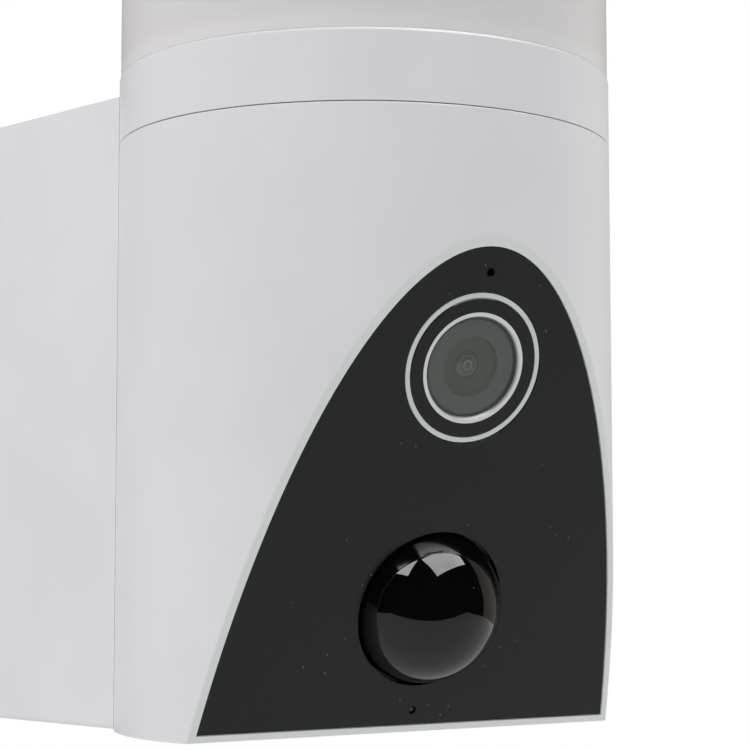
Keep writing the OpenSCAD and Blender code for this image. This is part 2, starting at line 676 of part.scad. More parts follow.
// ---- arm ----
module arm_housing() color("#ececee") in_place() difference() {
    union() {
        difference() {
            linear_extrude(arm_h) arm_plan(0, arm_back);
            difference() {
                translate([0, 0, arm_wall]) linear_extrude(arm_h - 2 * arm_wall)
                    arm_plan(arm_wall, arm_back + 1);
                cylinder(r = arm_front_r, h = big);
            }
        }
        for (z = ear_z) along_y(body_r - 12) translate([ear_x, -z, 0])
            cylinder(r = 4, h = case_y - body_r + 12);
        for (x = [-arm_screw_x, arm_screw_x], z = arm_screw_z) along_y(body_r - 10) translate([x, -z, 0])
            cylinder(r = 4, h = 12.4);
        for (x = [-lock_x, lock_x]) translate([x, lock_y, eps]) cylinder(r = 6, h = tab_z - 0.3);
    }
    translate([0, 0, -1]) cylinder(r = arm_r, h = big);
    for (z = ear_z) along_y(case_y - 8) translate([ear_x, -z, 0]) cylinder(r = 1.25 + screw_play, h = 9);
    for (x = [-arm_screw_x, arm_screw_x], z = arm_screw_z) along_y(body_r - 16) translate([x, -z, 0])
        cylinder(r = arm_screw_r + screw_play, h = 17.4);
    along_y(body_r - 8) translate([0, -harness_z, 0]) cylinder(r = gland_r + play, h = 16);
    for (x = [-lock_x, lock_x]) translate([x, lock_y, -1]) {
        cylinder(r = 4.2, h = 5);
        cylinder(r = 2.2, h = tab_z + 2);
    }
}

// Screws from inside the body, through its back wall, into the arm.
arm_seat_x = arm_screw_x + 2 * arm_screw_r;
arm_seat_y = sqrt(inner_r * inner_r - arm_seat_x * arm_seat_x) - 0.05;
module arm_screws() color("#b9bcc0") in_place() for (x = [-arm_screw_x, arm_screw_x], z = arm_screw_z)
    along_y(arm_seat_y) translate([x, -z, 0]) rotate([180, 0, 0])
        screw(arm_screw_r, body_r + 1 - arm_seat_y);

module harness_gland() color("#2a2a2a") in_place() difference() {
    union() {
        along_y(inner_r - 1.5) translate([0, -harness_z, 0])
            cylinder(r = gland_r, h = arm_front_r - inner_r + 1.9);
        along_y(inner_r - 2) translate([0, -harness_z, 0])
            cylinder(r = gland_r - 1.2, h = arm_front_r - inner_r + 4);
    }
    harness_wire_row(wire_d / 2 + screw_play);
}

module harness_wire_row(r) for (k = [-1.5:1.5]) along_y(chassis_y + chassis_t + 1)
    translate([k * wire_pitch, -harness_z, 0])
        cylinder(r = r, h = case_y + case_wall + 2 - chassis_y - chassis_t - 1, $fn = 32);

module harness_wires() color("#b03a2e") in_place() union() {
    harness_wire_row(wire_d / 2);
    block([-8, 8], [board_y + 0.4 + board_t, chassis_y + chassis_t + 1.2],
        [harness_z - 3, harness_z + 3]);
}

module driver_case() color("#5c6064") in_place() difference() {
    union() {
        tray(case_x, [case_y, case_back], case_z, case_wall);
        block([ear_x - 5, ear_x + 5], [case_y, case_y + 2], [ear_z[0] - 4, ear_z[1] + 4]);
    }
    block([case_x[0] + case_wall, case_x[1] - case_wall], [case_y + case_wall, case_back + 1],
          [case_z[0] + case_wall, case_z[1] - case_wall]);
    for (z = ear_z) along_y(case_y - 1) translate([ear_x, -z, 0]) cylinder(r = 1.25 + screw_play, h = 4);
    harness_wire_row(wire_d / 2 + screw_play);
}

module driver_lid() color("#5c6064") in_place() union() {
    block(case_x, [case_back, case_back + 1.8], case_z);
    block([case_x[0] + case_wall + play, case_x[1] - case_wall - play], [case_back - 2, case_back],
          [case_z[0] + case_wall + play, case_z[1] - case_wall - play]);
}

driver_y = case_y + (case_back - case_y - 4) / 3;   // front face of the driver's board
driver_top = driver_y + 1.6;
module driver_board() color("#8a6d2f") in_place() union() {
    block([case_x[0] + case_wall + play, case_x[1] - case_wall - play], [driver_y, driver_top],
          [case_z[0] + case_wall + play, case_z[1] - case_wall - play]);
    block([case_x[0] + 8, case_x[0] + 30], [driver_top, case_back - 3], [case_z[0] + 40, case_z[0] + 62]);
    for (z = [case_z[0] + 12, case_z[0] + 27]) along_y(driver_top) translate([case_x[0] + 14, -z, 0])
        cylinder(r = 5, h = case_back - 3 - driver_top);
    block([case_x[1] - 20, case_x[1] - 8], [driver_top, (driver_top + case_back - 2) / 2],
        [case_z[0] + 10, case_z[0] + 24]);
}

// ---- wall plate ----
plate_x = arm_half(arm_back) - arm_wall - 16;
plate_z = [tab_z, arm_h - arm_wall - 0.05];
module wall_plate() color("#9a9da0") in_place() difference() {
    union() {
        block([-plate_x, plate_x], [wall_gap - plate_t, wall_gap], plate_z);
        block([-plate_x, plate_x], [wall_gap - tab_l, wall_gap], [tab_z, tab_z + plate_t]);
        block([-plate_x, plate_x], [wall_gap - tab_l, wall_gap], [plate_z[1] - plate_t, plate_z[1]]);
    }
    for (x = [-slot_spacing / 2, slot_spacing / 2]) translate([x, 0, plate_mid]) {
        for (e = [-1, 1]) along_y(wall_gap - plate_t - 1) translate([e * (slot_l - slot_w) / 2, 0, 0])
            cylinder(d = slot_w, h = plate_t + 2);
        block([-(slot_l - slot_w) / 2, (slot_l - slot_w) / 2], [wall_gap - plate_t - 1, wall_gap + 1],
              [-slot_w / 2, slot_w / 2]);
    }
    along_y(wall_gap - plate_t - 1) translate([inlet_x, -inlet_z, 0])
        cylinder(r = grommet_r + 0.02, h = plate_t + 2);
    for (x = [-lock_x, lock_x]) translate([x, lock_y, tab_z - 1])
        cylinder(r = 2 + screw_play, h = plate_t + 2);
}

module plate_screws() color("#b9bcc0") in_place() for (x = [-lock_x, lock_x])
    translate([x, lock_y, 4]) rotate([180, 0, 0]) screw(2, tab_z + plate_t - 2.5);

module cable_grommet() color("#262626") in_place() translate([inlet_x, 0, inlet_z]) difference() {
    union() {
        along_y(wall_gap - plate_t) cylinder(r = grommet_r, h = plate_t);
        along_y(wall_gap - plate_t - 2) cylinder(r = grommet_r + 2, h = 2);
    }
    along_y(wall_gap - plate_t - 4) cylinder(r = inlet_r, h = plate_t + 5);
}

body_shell();
body_seal();
front_panel();
panel_gasket();
lens_outer_ring();
lens_bezel();
window_ring();
lens_window();
camera_barrel();
front_lens();
lens_holder();
filter_slide();
filter_glass();
image_sensor();
camera_board();
camera_screws();
pir_dome();
pir_retainer();
pir_retainer_screws();
pir_sensor();
pir_board();
status_light_pipe();
mic_boot();
mic_capsule();
speaker();
speaker_cone();
service_cover();
cover_seal();
cover_pin();
service_well();
card_board();
card_socket();
reset_button();
reset_switch();
chassis_plate();
chassis_screws();
main_board();
board_screws();
processor_shield();
radio_module();
light_deck();
deck_screws();
collar_ring();
diffuser();
diffuser_seal();
light_column();
column_screws();
light_boards();
light_chips();
top_cap();
arm_housing();
arm_screws();
harness_gland();
harness_wires();
driver_case();
driver_lid();
driver_board();
wall_plate();
plate_screws();
cable_grommet();
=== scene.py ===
import math

import bmesh
import bpy
from mathutils import Matrix, Vector


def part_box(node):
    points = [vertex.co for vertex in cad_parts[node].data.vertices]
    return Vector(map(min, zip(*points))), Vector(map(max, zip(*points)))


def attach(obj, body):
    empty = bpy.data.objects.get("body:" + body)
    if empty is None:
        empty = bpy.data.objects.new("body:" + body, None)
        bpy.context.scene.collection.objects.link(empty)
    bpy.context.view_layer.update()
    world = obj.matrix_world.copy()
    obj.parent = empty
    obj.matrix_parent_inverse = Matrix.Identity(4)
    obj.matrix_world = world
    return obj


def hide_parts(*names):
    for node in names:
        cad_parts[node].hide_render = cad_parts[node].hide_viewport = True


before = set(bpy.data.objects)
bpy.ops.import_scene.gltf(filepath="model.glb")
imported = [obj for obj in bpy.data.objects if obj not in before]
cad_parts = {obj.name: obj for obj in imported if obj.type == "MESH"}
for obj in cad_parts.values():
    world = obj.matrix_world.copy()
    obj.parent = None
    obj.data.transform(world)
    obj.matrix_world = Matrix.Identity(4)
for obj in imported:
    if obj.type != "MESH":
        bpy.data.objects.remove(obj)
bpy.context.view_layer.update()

scene = bpy.context.scene

# ---- Studio ----
# A long lens looks slightly up at the front from its left. The paper table lies well below the
# underside, so the floodlight hangs clear of it as it does on a wall. Soft boxes stand high on the
# left and behind, a dull warm wall is on the right, and glowing cards give the glossy reflections.
mm = 0.001
heading, climb, roll = (math.radians(a) for a in (31.159, 4.863, -0.193))
ahead = Vector((math.sin(heading) * math.cos(climb), math.cos(heading) * math.cos(climb),
                math.sin(climb)))
across = ahead.cross(Vector((0, 0, 1))).normalized()
upward = across.cross(ahead)
turn = Matrix.Rotation(roll, 3, -ahead)
across, upward = turn @ across, turn @ upward
camera_at = Vector((-0.203543, -0.450147, -0.028349))
camera = bpy.data.objects.new("camera", bpy.data.cameras.new("camera"))
scene.collection.objects.link(camera)
camera.matrix_world = Matrix((
    (across.x, upward.x, -ahead.x, camera_at.x),
    (across.y, upward.y, -ahead.y, camera_at.y),
    (across.z, upward.z, -ahead.z, camera_at.z),
    (0, 0, 0, 1)))
camera.data.sensor_width = 36
camera.data.lens = 98.53
camera.data.shift_x = -0.08
camera.data.clip_start = 0.01
scene.camera = camera
scene.view_settings.view_transform = "Standard"

shell_low, shell_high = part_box("body_shell")
body_r = (shell_high.x - shell_low.x) / 2
axis = Vector(((shell_high.x + shell_low.x) / 2, shell_high.y - body_r, 0))
floor_z = shell_low.z
rim_z = shell_high.z
table_drop = 0.2


class Value:
    """A shader number. An expression on it adds its own Math nodes."""

    def __init__(self, finish, socket):
        self.finish, self.socket = finish, socket

    def maths(self, operation, *values):
        return self.finish.node("ShaderNodeMath", {"operation": operation}, dict(enumerate(values)))

    def __add__(self, other):
        return self.maths("ADD", self, other)

    def __sub__(self, other):
        return self.maths("SUBTRACT", self, other)

    def __rsub__(self, other):
        return self.maths("SUBTRACT", other, self)

    def __mul__(self, other):
        return self.maths("MULTIPLY", self, other)

    __radd__, __rmul__ = __add__, __mul__

    def __gt__(self, other):
        return self.maths("GREATER_THAN", self, other)

    def __lt__(self, other):
        return self.maths("LESS_THAN", self, other)

    def ramp(self, low, high, start=0.0, end=1.0):
        """Start at low, end at high, smoothly between them."""
        return self.finish.node("ShaderNodeMapRange", {"interpolation_type": "SMOOTHSTEP"},
                                {0: self, 1: low, 2: high, 3: start, 4: end})


class Finish:
    """A material whose detail is built from nodes in the object's own coordinates."""

    def __init__(self, name, **constants):
        self.material = bpy.data.materials.new(name)
        self.material.use_nodes = True
        self.tree = self.material.node_tree
        self.shader = self.tree.nodes["Principled BSDF"]
        self.place = self.node("ShaderNodeTexCoord", output="Object")
        self.set(**constants)

    def node(self, kind, settings=None, inputs=None, output=0):
        made = self.tree.nodes.new(kind)
        for name, value in (settings or {}).items():
            if name == "stops":
                while len(made.color_ramp.elements) < len(value):
                    made.color_ramp.elements.new(0.5)
                for element, (position, colour) in zip(made.color_ramp.elements, value):
                    element.position, element.color = position, (*colour, 1)
            else:
                setattr(made, name, value)
        for name, value in (inputs or {}).items():
            self.feed(made.inputs[name], value)
        return Value(self, made.outputs[output])

    def feed(self, socket, value):
        if isinstance(value, Value):
            self.tree.links.new(value.socket, socket)
        elif socket.type == "RGBA" and len(value) == 3:
            socket.default_value = (*value, 1)
        else:
            socket.default_value = value

    def set(self, **inputs):
        """Feeds the shader's sockets: Base_Color is Base Color."""
        for name, value in inputs.items():
            self.feed(self.shader.inputs[name.replace("_", " ")], value)
        return self

    def noise(self, size, detail=2.0, stretch=(1, 1, 1), rough=0.5):
        """Noise between 0 and 1 whose grains are about size metres across."""
        at = self.node("ShaderNodeMapping", {}, {"Vector": self.place, "Scale": stretch})
        return self.node("ShaderNodeTexNoise", {}, {
            "Vector": at, "Scale": 1 / size, "Detail": detail, "Roughness": rough})

    def specks(self, size, share):
        """A few round specks, size metres apart, of which only a share is there."""
        cells = self.node("ShaderNodeTexVoronoi", {}, {"Vector": self.place, "Scale": 1 / size})
        picked = self.node("ShaderNodeTexVoronoi", {}, {"Vector": self.place, "Scale": 1 / size},
                           output="Color")
        chance = self.node("ShaderNodeSeparateColor", {}, {0: picked})
        return (cells < 0.09) * (chance < share)

    def mix(self, factor, first, second):
        return self.node("ShaderNodeMix", {"data_type": "RGBA"}, {0: factor, 6: first, 7: second}, output=2)

    def tone(self):
        """The colour that the material has so far."""
        return Value(self, self.shader.inputs["Base Color"].links[0].from_socket)

    def dot(self, first, second):
        return self.node("ShaderNodeVectorMath", {"operation": "DOT_PRODUCT"}, {0: first, 1: second},
                         output="Value")

    def bump(self, height, depth):
        """Height in 0 to 1, standing depth metres proud."""
        return self.node("ShaderNodeBump", {}, {"Height": height, "Distance": depth, "Strength": 1.0})

    def worn_edge(self, radius):
        """1 where the surface turns within radius, 0 on the flat."""
        flat = self.node("ShaderNodeNewGeometry", output="Normal")
        soft = self.node("ShaderNodeBevel", {"samples": 4}, {"Radius": radius})
        return self.dot(flat, soft).ramp(0.995, 0.9)


def shade(red, green, blue):
    """The shader's colour for a colour given as 0 to 255 on a screen."""
    return tuple(((c / 255 + 0.055) / 1.055) ** 2.4 if c > 10 else c / 3294.6 for c in (red, green, blue))


def area_light(name, spot, aim, width, height, watts, colour):
    """A soft box. The cards below stand in for its reflection."""
    light = bpy.data.objects.new(name, bpy.data.lights.new(name, "AREA"))
    scene.collection.objects.link(light)
    light.data.shape = "RECTANGLE"
    light.data.size, light.data.size_y = width, height
    light.data.energy = watts
    light.data.color = colour
    light.location = spot
    light.rotation_mode = "QUATERNION"
    light.rotation_quaternion = (Vector(aim) - Vector(spot)).to_track_quat("-Z", "Y")
    light.visible_glossy = False


area_light("high_left", (-0.62, -0.02, 0.75), (0, -0.09, 0), 0.45, 0.35, 1.85, (1, 0.95, 0.95))
area_light("right_wall", (0.9, 0.15, 0.15), (0, -0.09, 0.02), 0.8, 0.85, 3.3, (1, 0.98, 0.84))
area_light("left_back", (-0.9, 0.7, 0.1), (0, -0.09, 0.02), 1.0, 1.0, 1.5, (0.95, 0.93, 1))

# The cards and the table's corners are placed about the glossy dome, which mirrors them.
dome_at = Vector((0, -0.1085, -0.0387))


def sheen_card(name, corners, colour, strength):
    """A glowing card that shows in glossy surfaces and lights nothing else."""
    bm = bmesh.new()
    bm.faces.new([bm.verts.new(dome_at + Vector(c)) for c in corners])
    mesh = bpy.data.meshes.new(name)
    bm.to_mesh(mesh)
    bm.free()
    card = bpy.data.objects.new(name, mesh)
    scene.collection.objects.link(card)
    card.visible_camera = card.visible_diffuse = False
    card.visible_transmission = card.visible_shadow = False
    glow = Finish(name)
    patchy = glow.noise(0.3, 1).ramp(0.2, 0.8)
    lamp = glow.node("ShaderNodeEmission", {}, {
        "Color": colour, "Strength": patchy * (0.2 * strength) + 0.9 * strength})
    glow.tree.links.new(lamp.socket, glow.tree.nodes["Material Output"].inputs[0])
    card.data.materials.append(glow.material)


card_rise = 0.6
for name, corners, strength in (
        ("overhead_front", ((-0.23, -0.36), (-0.09, -1.22), (0.99, -0.51), (0.78, -0.27), (0.48, -0.24),
                            (0.11, -0.29)), 7.8),
        ("overhead_rear", ((-0.24, -0.30), (0.11, -0.26), (0.48, -0.21), (0.76, -0.22), (0.57, -0.12),
                           (0.37, -0.07), (0.09, 0.03), (-0.09, 0.06)), 3.6),
        ("left_box", ((-1.13, -0.22), (-0.99, -0.66), (-0.6, -0.48), (-0.31, -0.33), (-0.54, -0.3),
                      (-0.85, -0.26)), 9.0)):
    sheen_card(name, [(x * card_rise, y * card_rise, card_rise) for x, y in corners],
               (1, 0.97, 0.95), strength)
strip_reach = 0.9
strip_corners = [(math.radians(a), z) for a, z in (
    (70, -0.2), (110, -0.2), (110, 0.81), (78, 0.81), (68, 0.3))]
sheen_card("right_strip", [(strip_reach * math.sin(a), -strip_reach * math.cos(a), z)
                           for a, z in strip_corners], (1, 0.9, 0.8), 0.42)

world = bpy.data.worlds.new("studio")
scene.world = world
world.use_nodes = True
sky = world.node_tree
for old in list(sky.nodes):
    sky.nodes.remove(old)
light_path = sky.nodes.new("ShaderNodeLightPath")
room, dark_room, backdrop = (sky.nodes.new("ShaderNodeBackground") for _ in range(3))
room.inputs[0].default_value, room.inputs[1].default_value = (0.97, 0.98, 1, 1), 0.757
dark_room.inputs[0].default_value, dark_room.inputs[1].default_value = (1, 1, 1, 1), 0.004
backdrop.inputs[0].default_value, backdrop.inputs[1].default_value = (1, 1, 1, 1), 1.0
for ray, under, over in (("Is Glossy Ray", room, dark_room), ("Is Camera Ray", None, backdrop)):
    pick = sky.nodes.new("ShaderNodeMixShader")
    sky.links.new(light_path.outputs[ray], pick.inputs[0])
    sky.links.new((under or last).outputs[0], pick.inputs[1])
    sky.links.new(over.outputs[0], pick.inputs[2])
    last = pick
sky.links.new(last.outputs[0], sky.nodes.new("ShaderNodeOutputWorld").inputs[0])

table_bm = bmesh.new()
table_fall = dome_at.z - floor_z + table_drop
table_corners = [Vector((x, y, -1)) * table_fall for x, y in (
    (-6.2, 1.5), (-4.8, -1.1), (-1.5, -1.95), (-0.2, -2.45), (3.3, -4.55), (5.3, 1.6), (5.6, 4), (-6.5, 4))]
table_bm.faces.new([table_bm.verts.new(dome_at + corner) for corner in table_corners])
table_mesh = bpy.data.meshes.new("table")
table_bm.to_mesh(table_mesh)
table_bm.free()
table = bpy.data.objects.new("table", table_mesh)
scene.collection.objects.link(table)
paper = Finish("pale_paper", Roughness=0.9, Specular_IOR_Level=0.1)
paper.set(Base_Color=paper.mix(paper.noise(0.004), shade(226, 227, 228), shade(232, 232, 232)))
paper_path = paper.node("ShaderNodeLightPath", output="Is Camera Ray")
paper_glow = paper.node("ShaderNodeEmission", {}, {"Color": (1, 1, 1), "Strength": 1.0})
paper_lit = paper.node("ShaderNodeMixShader", {}, {
    0: paper_path * 0.94, 1: Value(paper, paper.shader.outputs[0]), 2: paper_glow})
paper_under = paper.node("ShaderNodeNewGeometry", output="Backfacing")
paper_out = paper.node("ShaderNodeMixShader", {}, {
    0: paper_under, 1: paper_lit, 2: paper.node("ShaderNodeBsdfTransparent")})
paper.tree.links.new(paper_out.socket, paper.tree.nodes["Material Output"].inputs[0])
table.data.materials.append(paper.material)


# ---- Body ----
# A cup injection moulded in white polycarbonate, cut at a slant in front, with a narrow rim left
# round the slant. Its outer edges are rounded by the mould, and its skin has a fine satin spark
# texture. The boards, the loudspeaker and the service recess are behind holes in it.
body_wall, body_floor = 2.4 * mm, 4 * mm
slant_top = floor_z + 92 * mm
slant_lean = math.radians(19.5)
rim_w = 1.35 * mm
pocket_depth = 3.0 * mm
front_wall = 2.5 * mm
lens_s, sensor_s, mic_s, status_s = 24.7 * mm, 72.5 * mm, 6.3 * mm, 93.2 * mm
slant_down = Vector((0, math.sin(slant_lean), -math.cos(slant_lean)))
slant_out = Vector((0, -math.cos(slant_lean), -math.sin(slant_lean)))
slant_apex = axis + Vector((0, -body_r, slant_top))
round_steps = 256


def on_slant(s=0.0, depth=0.0):
    """Places a shape on the slanted face: s down it from the top, depth behind it, +Z outwards."""
    return Matrix.LocRotScale(slant_apex + slant_down * s - slant_out * depth,
                              Matrix((Vector((1, 0, 0)), -slant_down, slant_out)).transposed(), None)


def new_object(name, bm):
    mesh = bpy.data.meshes.new(name)
    bm.to_mesh(mesh)
    bm.free()
    made = bpy.data.objects.new(name, mesh)
    scene.collection.objects.link(made)
    return made


def cylinder(bm, r, low, high, at=None, steps=round_steps):
    """A closed cylinder from z = low to z = high, then placed by the matrix at."""
    matrix = (at or Matrix()) @ Matrix.Translation((0, 0, (low + high) / 2))
    bmesh.ops.create_cone(bm, cap_ends=True, segments=steps, radius1=r, radius2=r, depth=high - low,
                          matrix=matrix)


def box(bm, x, y, z, at=None):
    """A block between the two values of each of x, y and z, then placed by the matrix at."""
    size = Matrix.Diagonal((x[1] - x[0], y[1] - y[0], z[1] - z[0], 1))
    middle = Matrix.Translation(((x[0] + x[1]) / 2, (y[0] + y[1]) / 2, (z[0] + z[1]) / 2))
    bmesh.ops.create_cube(bm, size=1, matrix=(at or Matrix()) @ middle @ size)


def turned(bm, profile, at=None, steps=round_steps):
    """Spins a closed outline of (radius, height) points about Z into a solid of revolution."""
    points = [bm.verts.new((r, 0, z)) for r, z in profile]
    edges = [bm.edges.new((a, b)) for a, b in zip(points, points[1:] + points[:1])
             if a.co.x > 1e-7 or b.co.x > 1e-7]
    bmesh.ops.spin(bm, geom=points + edges, cent=(0, 0, 0), axis=(0, 0, 1), angle=2 * math.pi,
                   steps=steps, use_merge=True)
    bmesh.ops.remove_doubles(bm, verts=bm.verts, dist=1e-7)
    bmesh.ops.dissolve_degenerate(bm, dist=1e-8, edges=bm.edges)
    bmesh.ops.recalc_face_normals(bm, faces=bm.faces)
    if at is not None:
        bmesh.ops.transform(bm, matrix=at, verts=bm.verts)


def arc(cx, cz, r, start, end, steps=6):
    """Points on a quarter or part circle, from start to end in degrees, for a turned outline."""
    angles = [math.radians(start + (end - start) * k / steps) for k in range(steps + 1)]
    return [(cx + r * math.cos(a), cz + r * math.sin(a)) for a in angles]


def slant_cut(bm, depth):
    """Cuts everything off in front of the plane that lies depth behind the slanted face, and caps it."""
    cut = bmesh.ops.bisect_plane(bm, geom=bm.verts[:] + bm.edges[:] + bm.faces[:], dist=1e-7,
                                 plane_co=slant_apex - slant_out * depth, plane_no=slant_out,
                                 clear_outer=True, clear_inner=False)
    rim = [e for e in cut["geom_cut"] if isinstance(e, bmesh.types.BMEdge)]
    return bmesh.ops.contextual_create(bm, geom=rim)["faces"][0]


def round_off(bm, edges, offset, segments, clamp=False):
    """Rounds the edges of a mesh that is still being built."""
    bmesh.ops.bevel(bm, geom=edges, offset=offset, offset_type="OFFSET", affect="EDGES",
                    segments=segments, profile=0.5, material=-1, clamp_overlap=clamp)


def boolean(piece, cutters, operation="DIFFERENCE"):
    """Cuts or joins each cutter, leaves the piece's mesh plain, and removes the cutters."""
    for cutter in cutters:
        tool = piece.modifiers.new("cut", "BOOLEAN")
        tool.operation, tool.solver, tool.object = operation, "EXACT", cutter
        cutter.hide_render = True
    shaped = bpy.data.meshes.new_from_object(piece.evaluated_get(bpy.context.evaluated_depsgraph_get()))
    piece.modifiers.clear()
    piece.data = shaped
    for cutter in cutters:
        bpy.data.objects.remove(cutter)


def clean(piece, smooth_angle=32):
    """Merges doubles, drops slivers, and shades smooth but for edges sharper than the angle."""
    bm = bmesh.new()
    bm.from_mesh(piece.data)
    bmesh.ops.remove_doubles(bm, verts=bm.verts, dist=2e-6)
    bmesh.ops.dissolve_degenerate(bm, dist=2e-6, edges=bm.edges)
    for face in bm.faces:
        face.smooth = True
    for edge in bm.edges:
        edge.smooth = len(edge.link_faces) == 2 and edge.calc_face_angle(0) < math.radians(smooth_angle)
    bm.to_mesh(piece.data)
    bm.free()


def edge_bevel(piece, width, angle=32):
    """Rounds every edge sharper than the angle, as a mould or a tumbled sheet leaves it."""
    tool = piece.modifiers.new("edges", "BEVEL")
    tool.width, tool.segments, tool.limit_method = width, 2, "ANGLE"
    tool.angle_limit = math.radians(angle)
    tool.miter_outer = "MITER_ARC"
    tool.use_clamp_overlap = True
    tool.harden_normals = False


def settle(piece, body, finish, nodes=()):
    """Shades the piece, gives it its finish, and puts it on its body in place of its CAD nodes."""
    clean(piece)
    weight = piece.modifiers.new("shading", "WEIGHTED_NORMAL")
    weight.keep_sharp, weight.weight = True, 60
    piece.data.materials.clear()
    piece.data.materials.append(finish.material)
    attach(piece, body)
    if nodes:
        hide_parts(*nodes)


def moulded(name, low, high, roughness, grain=0.0002, depth=0.000004, **constants):
    """Satin moulded plastic: a spark-textured skin, slow shifts of tone and handled edges."""
    made = Finish(name, Roughness=roughness, **constants)
    tone = made.noise(0.03, 3).ramp(0.3, 0.7)
    colour = made.mix(tone, low, high)
    edge = made.worn_edge(0.0006)
    colour = made.mix(edge * 0.35, colour, tuple(min(1, c * 1.12) for c in high))
    skin = made.noise(grain, 2)
    handled = made.noise(0.02, 4).ramp(0.35, 0.75)
    made.set(Base_Color=colour,
             Roughness=skin * 0.1 + (roughness - 0.05) + handled * 0.06 - edge * 0.05,
             Normal=made.bump(skin, depth))
    return made


def before_slant(finish):
    """How far in front of the slanted face a point of the surface lies; below 0 is behind it."""
    return finish.dot(finish.place, slant_out) - slant_apex.dot(slant_out)


white_plastic = moulded("white_polycarbonate", shade(229, 228, 231), shade(233, 232, 234), 0.42)
# Painted reflection: the slanted rim's face is tinted grey-green, standing for the table it mirrors.
rim_painted_reflection = before_slant(white_plastic).ramp(-0.4 * mm, -0.05 * mm)
white_plastic.set(Base_Color=white_plastic.mix(rim_painted_reflection * 0.8, white_plastic.tone(), shade(221, 227, 223)))

rim_lift = 0.35 * mm
body_bm = bmesh.new()
cylinder(body_bm, body_r, floor_z, rim_z + rim_lift, Matrix.Translation(axis))
slant_face = slant_cut(body_bm, 0)
body_bm.normal_update()
bottom_ring = [e for e in body_bm.edges if len(e.link_faces) == 2
               and all(abs(v.co.z - floor_z) < 1e-6 for v in e.verts)]
top_ring = [e for e in body_bm.edges if min(v.co.z for v in e.verts) > rim_z - 1e-6]
slant_ring = list(slant_face.edges)
bmesh.ops.inset_region(body_bm, faces=[slant_face], thickness=rim_w, use_even_offset=True)
pressed = bmesh.ops.extrude_face_region(body_bm, geom=[slant_face])
pocket_verts = [g for g in pressed["geom"] if isinstance(g, bmesh.types.BMVert)]
bmesh.ops.translate(body_bm, vec=-slant_out * pocket_depth, verts=pocket_verts)
bmesh.ops.delete(body_bm, geom=[f for f in [slant_face] if f.is_valid], context="FACES_ONLY")
for ring, width, segments in ((slant_ring, 0.45 * mm, 3), (bottom_ring, 0.6 * mm, 4),
                              (top_ring, 0.35 * mm, 3)):
    round_off(body_bm, [e for e in ring if e.is_valid], width, segments, clamp=True)
bmesh.ops.recalc_face_normals(body_bm, faces=body_bm.faces)
body = new_object("body", body_bm)

cavity_bm = bmesh.new()
inner_r = body_r - body_wall
deck_z = rim_z - 5.9 * mm
ledge_t, ledge_in_r = 3 * mm, inner_r - 2.6 * mm
turned(cavity_bm, [(0, floor_z + body_floor), (inner_r, floor_z + body_floor), (inner_r, deck_z - ledge_t),
                   (ledge_in_r, deck_z - ledge_t), (ledge_in_r, deck_z), (inner_r, deck_z),
                   (inner_r, rim_z + 1 * mm), (0, rim_z + 1 * mm)], Matrix.Translation(axis), 128)
slant_cut(cavity_bm, pocket_depth + front_wall)
bmesh.ops.recalc_face_normals(cavity_bm, faces=cavity_bm.faces)

hole_bm = bmesh.new()
deep = pocket_depth + front_wall + 1 * mm
for s, r in ((lens_s, 14.55 * mm), (sensor_s, 17.25 * mm), (mic_s, 1.0 * mm), (status_s, 0.95 * mm)):
    cylinder(hole_bm, r, -deep, 1 * mm, on_slant(s), 96 if r > 2 * mm else 24)
speaker_x, speaker_y, sound_r, grille_r = -22 * mm, 17 * mm, 0.8 * mm, 9.5 * mm
for i in range(-3, 4):
    for j in range(-3, 4):
        x, y = 3.2 * mm * (i + 0.5 * (j % 2)), 2.8 * mm * j
        if math.hypot(x, y) < grille_r:
            cylinder(hole_bm, sound_r, floor_z - 1 * mm, floor_z + body_floor + 0.5 * mm,
                     Matrix.Translation(axis + Vector((speaker_x + x, speaker_y + y, 0))), 16)

cover_x, cover_w, cover_l, hinge_y, hinge_z = 22 * mm, 20 * mm, 19 * mm, 9 * mm, 1.6 * mm
cover_gap, hinge_r, hinge_room = 0.3 * mm, 1.5 * mm, 1.9 * mm
service_bm = bmesh.new()
recess_x = (cover_x - cover_w / 2 - cover_gap, cover_x + cover_w / 2 + cover_gap)
under = Matrix.Translation(axis + Vector((0, 0, floor_z)))
box(service_bm, recess_x, (hinge_y - hinge_room, hinge_y + cover_l + cover_gap), (-1 * mm, 2.25 * mm), under)


def free_corners(bm):
    """The upright edges at the end away from the hinge."""
    return [e for e in bm.edges if abs(e.verts[0].co.z - e.verts[1].co.z) > 1 * mm
            and e.verts[0].co.y > axis.y + hinge_y + 5 * mm]


round_off(service_bm, free_corners(service_bm), 1.2 * mm, 4)
groove_bm = bmesh.new()
box(groove_bm, recess_x, (hinge_y - hinge_room, hinge_y + hinge_room),
    (-1 * mm, hinge_z + hinge_r + 0.15 * mm), under)
well_bm = bmesh.new()
box(well_bm, (cover_x - cover_w / 2 + 2 * mm, cover_x + cover_w / 2 - 2 * mm),
    (hinge_y + 3.5 * mm, hinge_y + cover_l - 2.5 * mm), (-1 * mm, body_floor + 0.5 * mm), under)
notch_bm = bmesh.new()
cylinder(notch_bm, 3 * mm, -1 * mm, 0.8 * mm,
         under @ Matrix.Translation((cover_x, hinge_y + cover_l, 0)), 48)
gland_bm = bmesh.new()
gland_r, harness_z = 7.6 * mm, 70.1 * mm
at_gland = under @ Matrix.Translation((0, 0, harness_z)) @ Matrix.Rotation(-math.pi / 2, 4, "X")
cylinder(gland_bm, gland_r, body_r - 8 * mm, body_r + 1 * mm, at_gland, 64)
boolean(body, [new_object("cutter", bm) for bm in (cavity_bm, hole_bm, service_bm, groove_bm, well_bm,
                                                   notch_bm, gland_bm)])
settle(body, "housing", white_plastic, ["body_shell"])


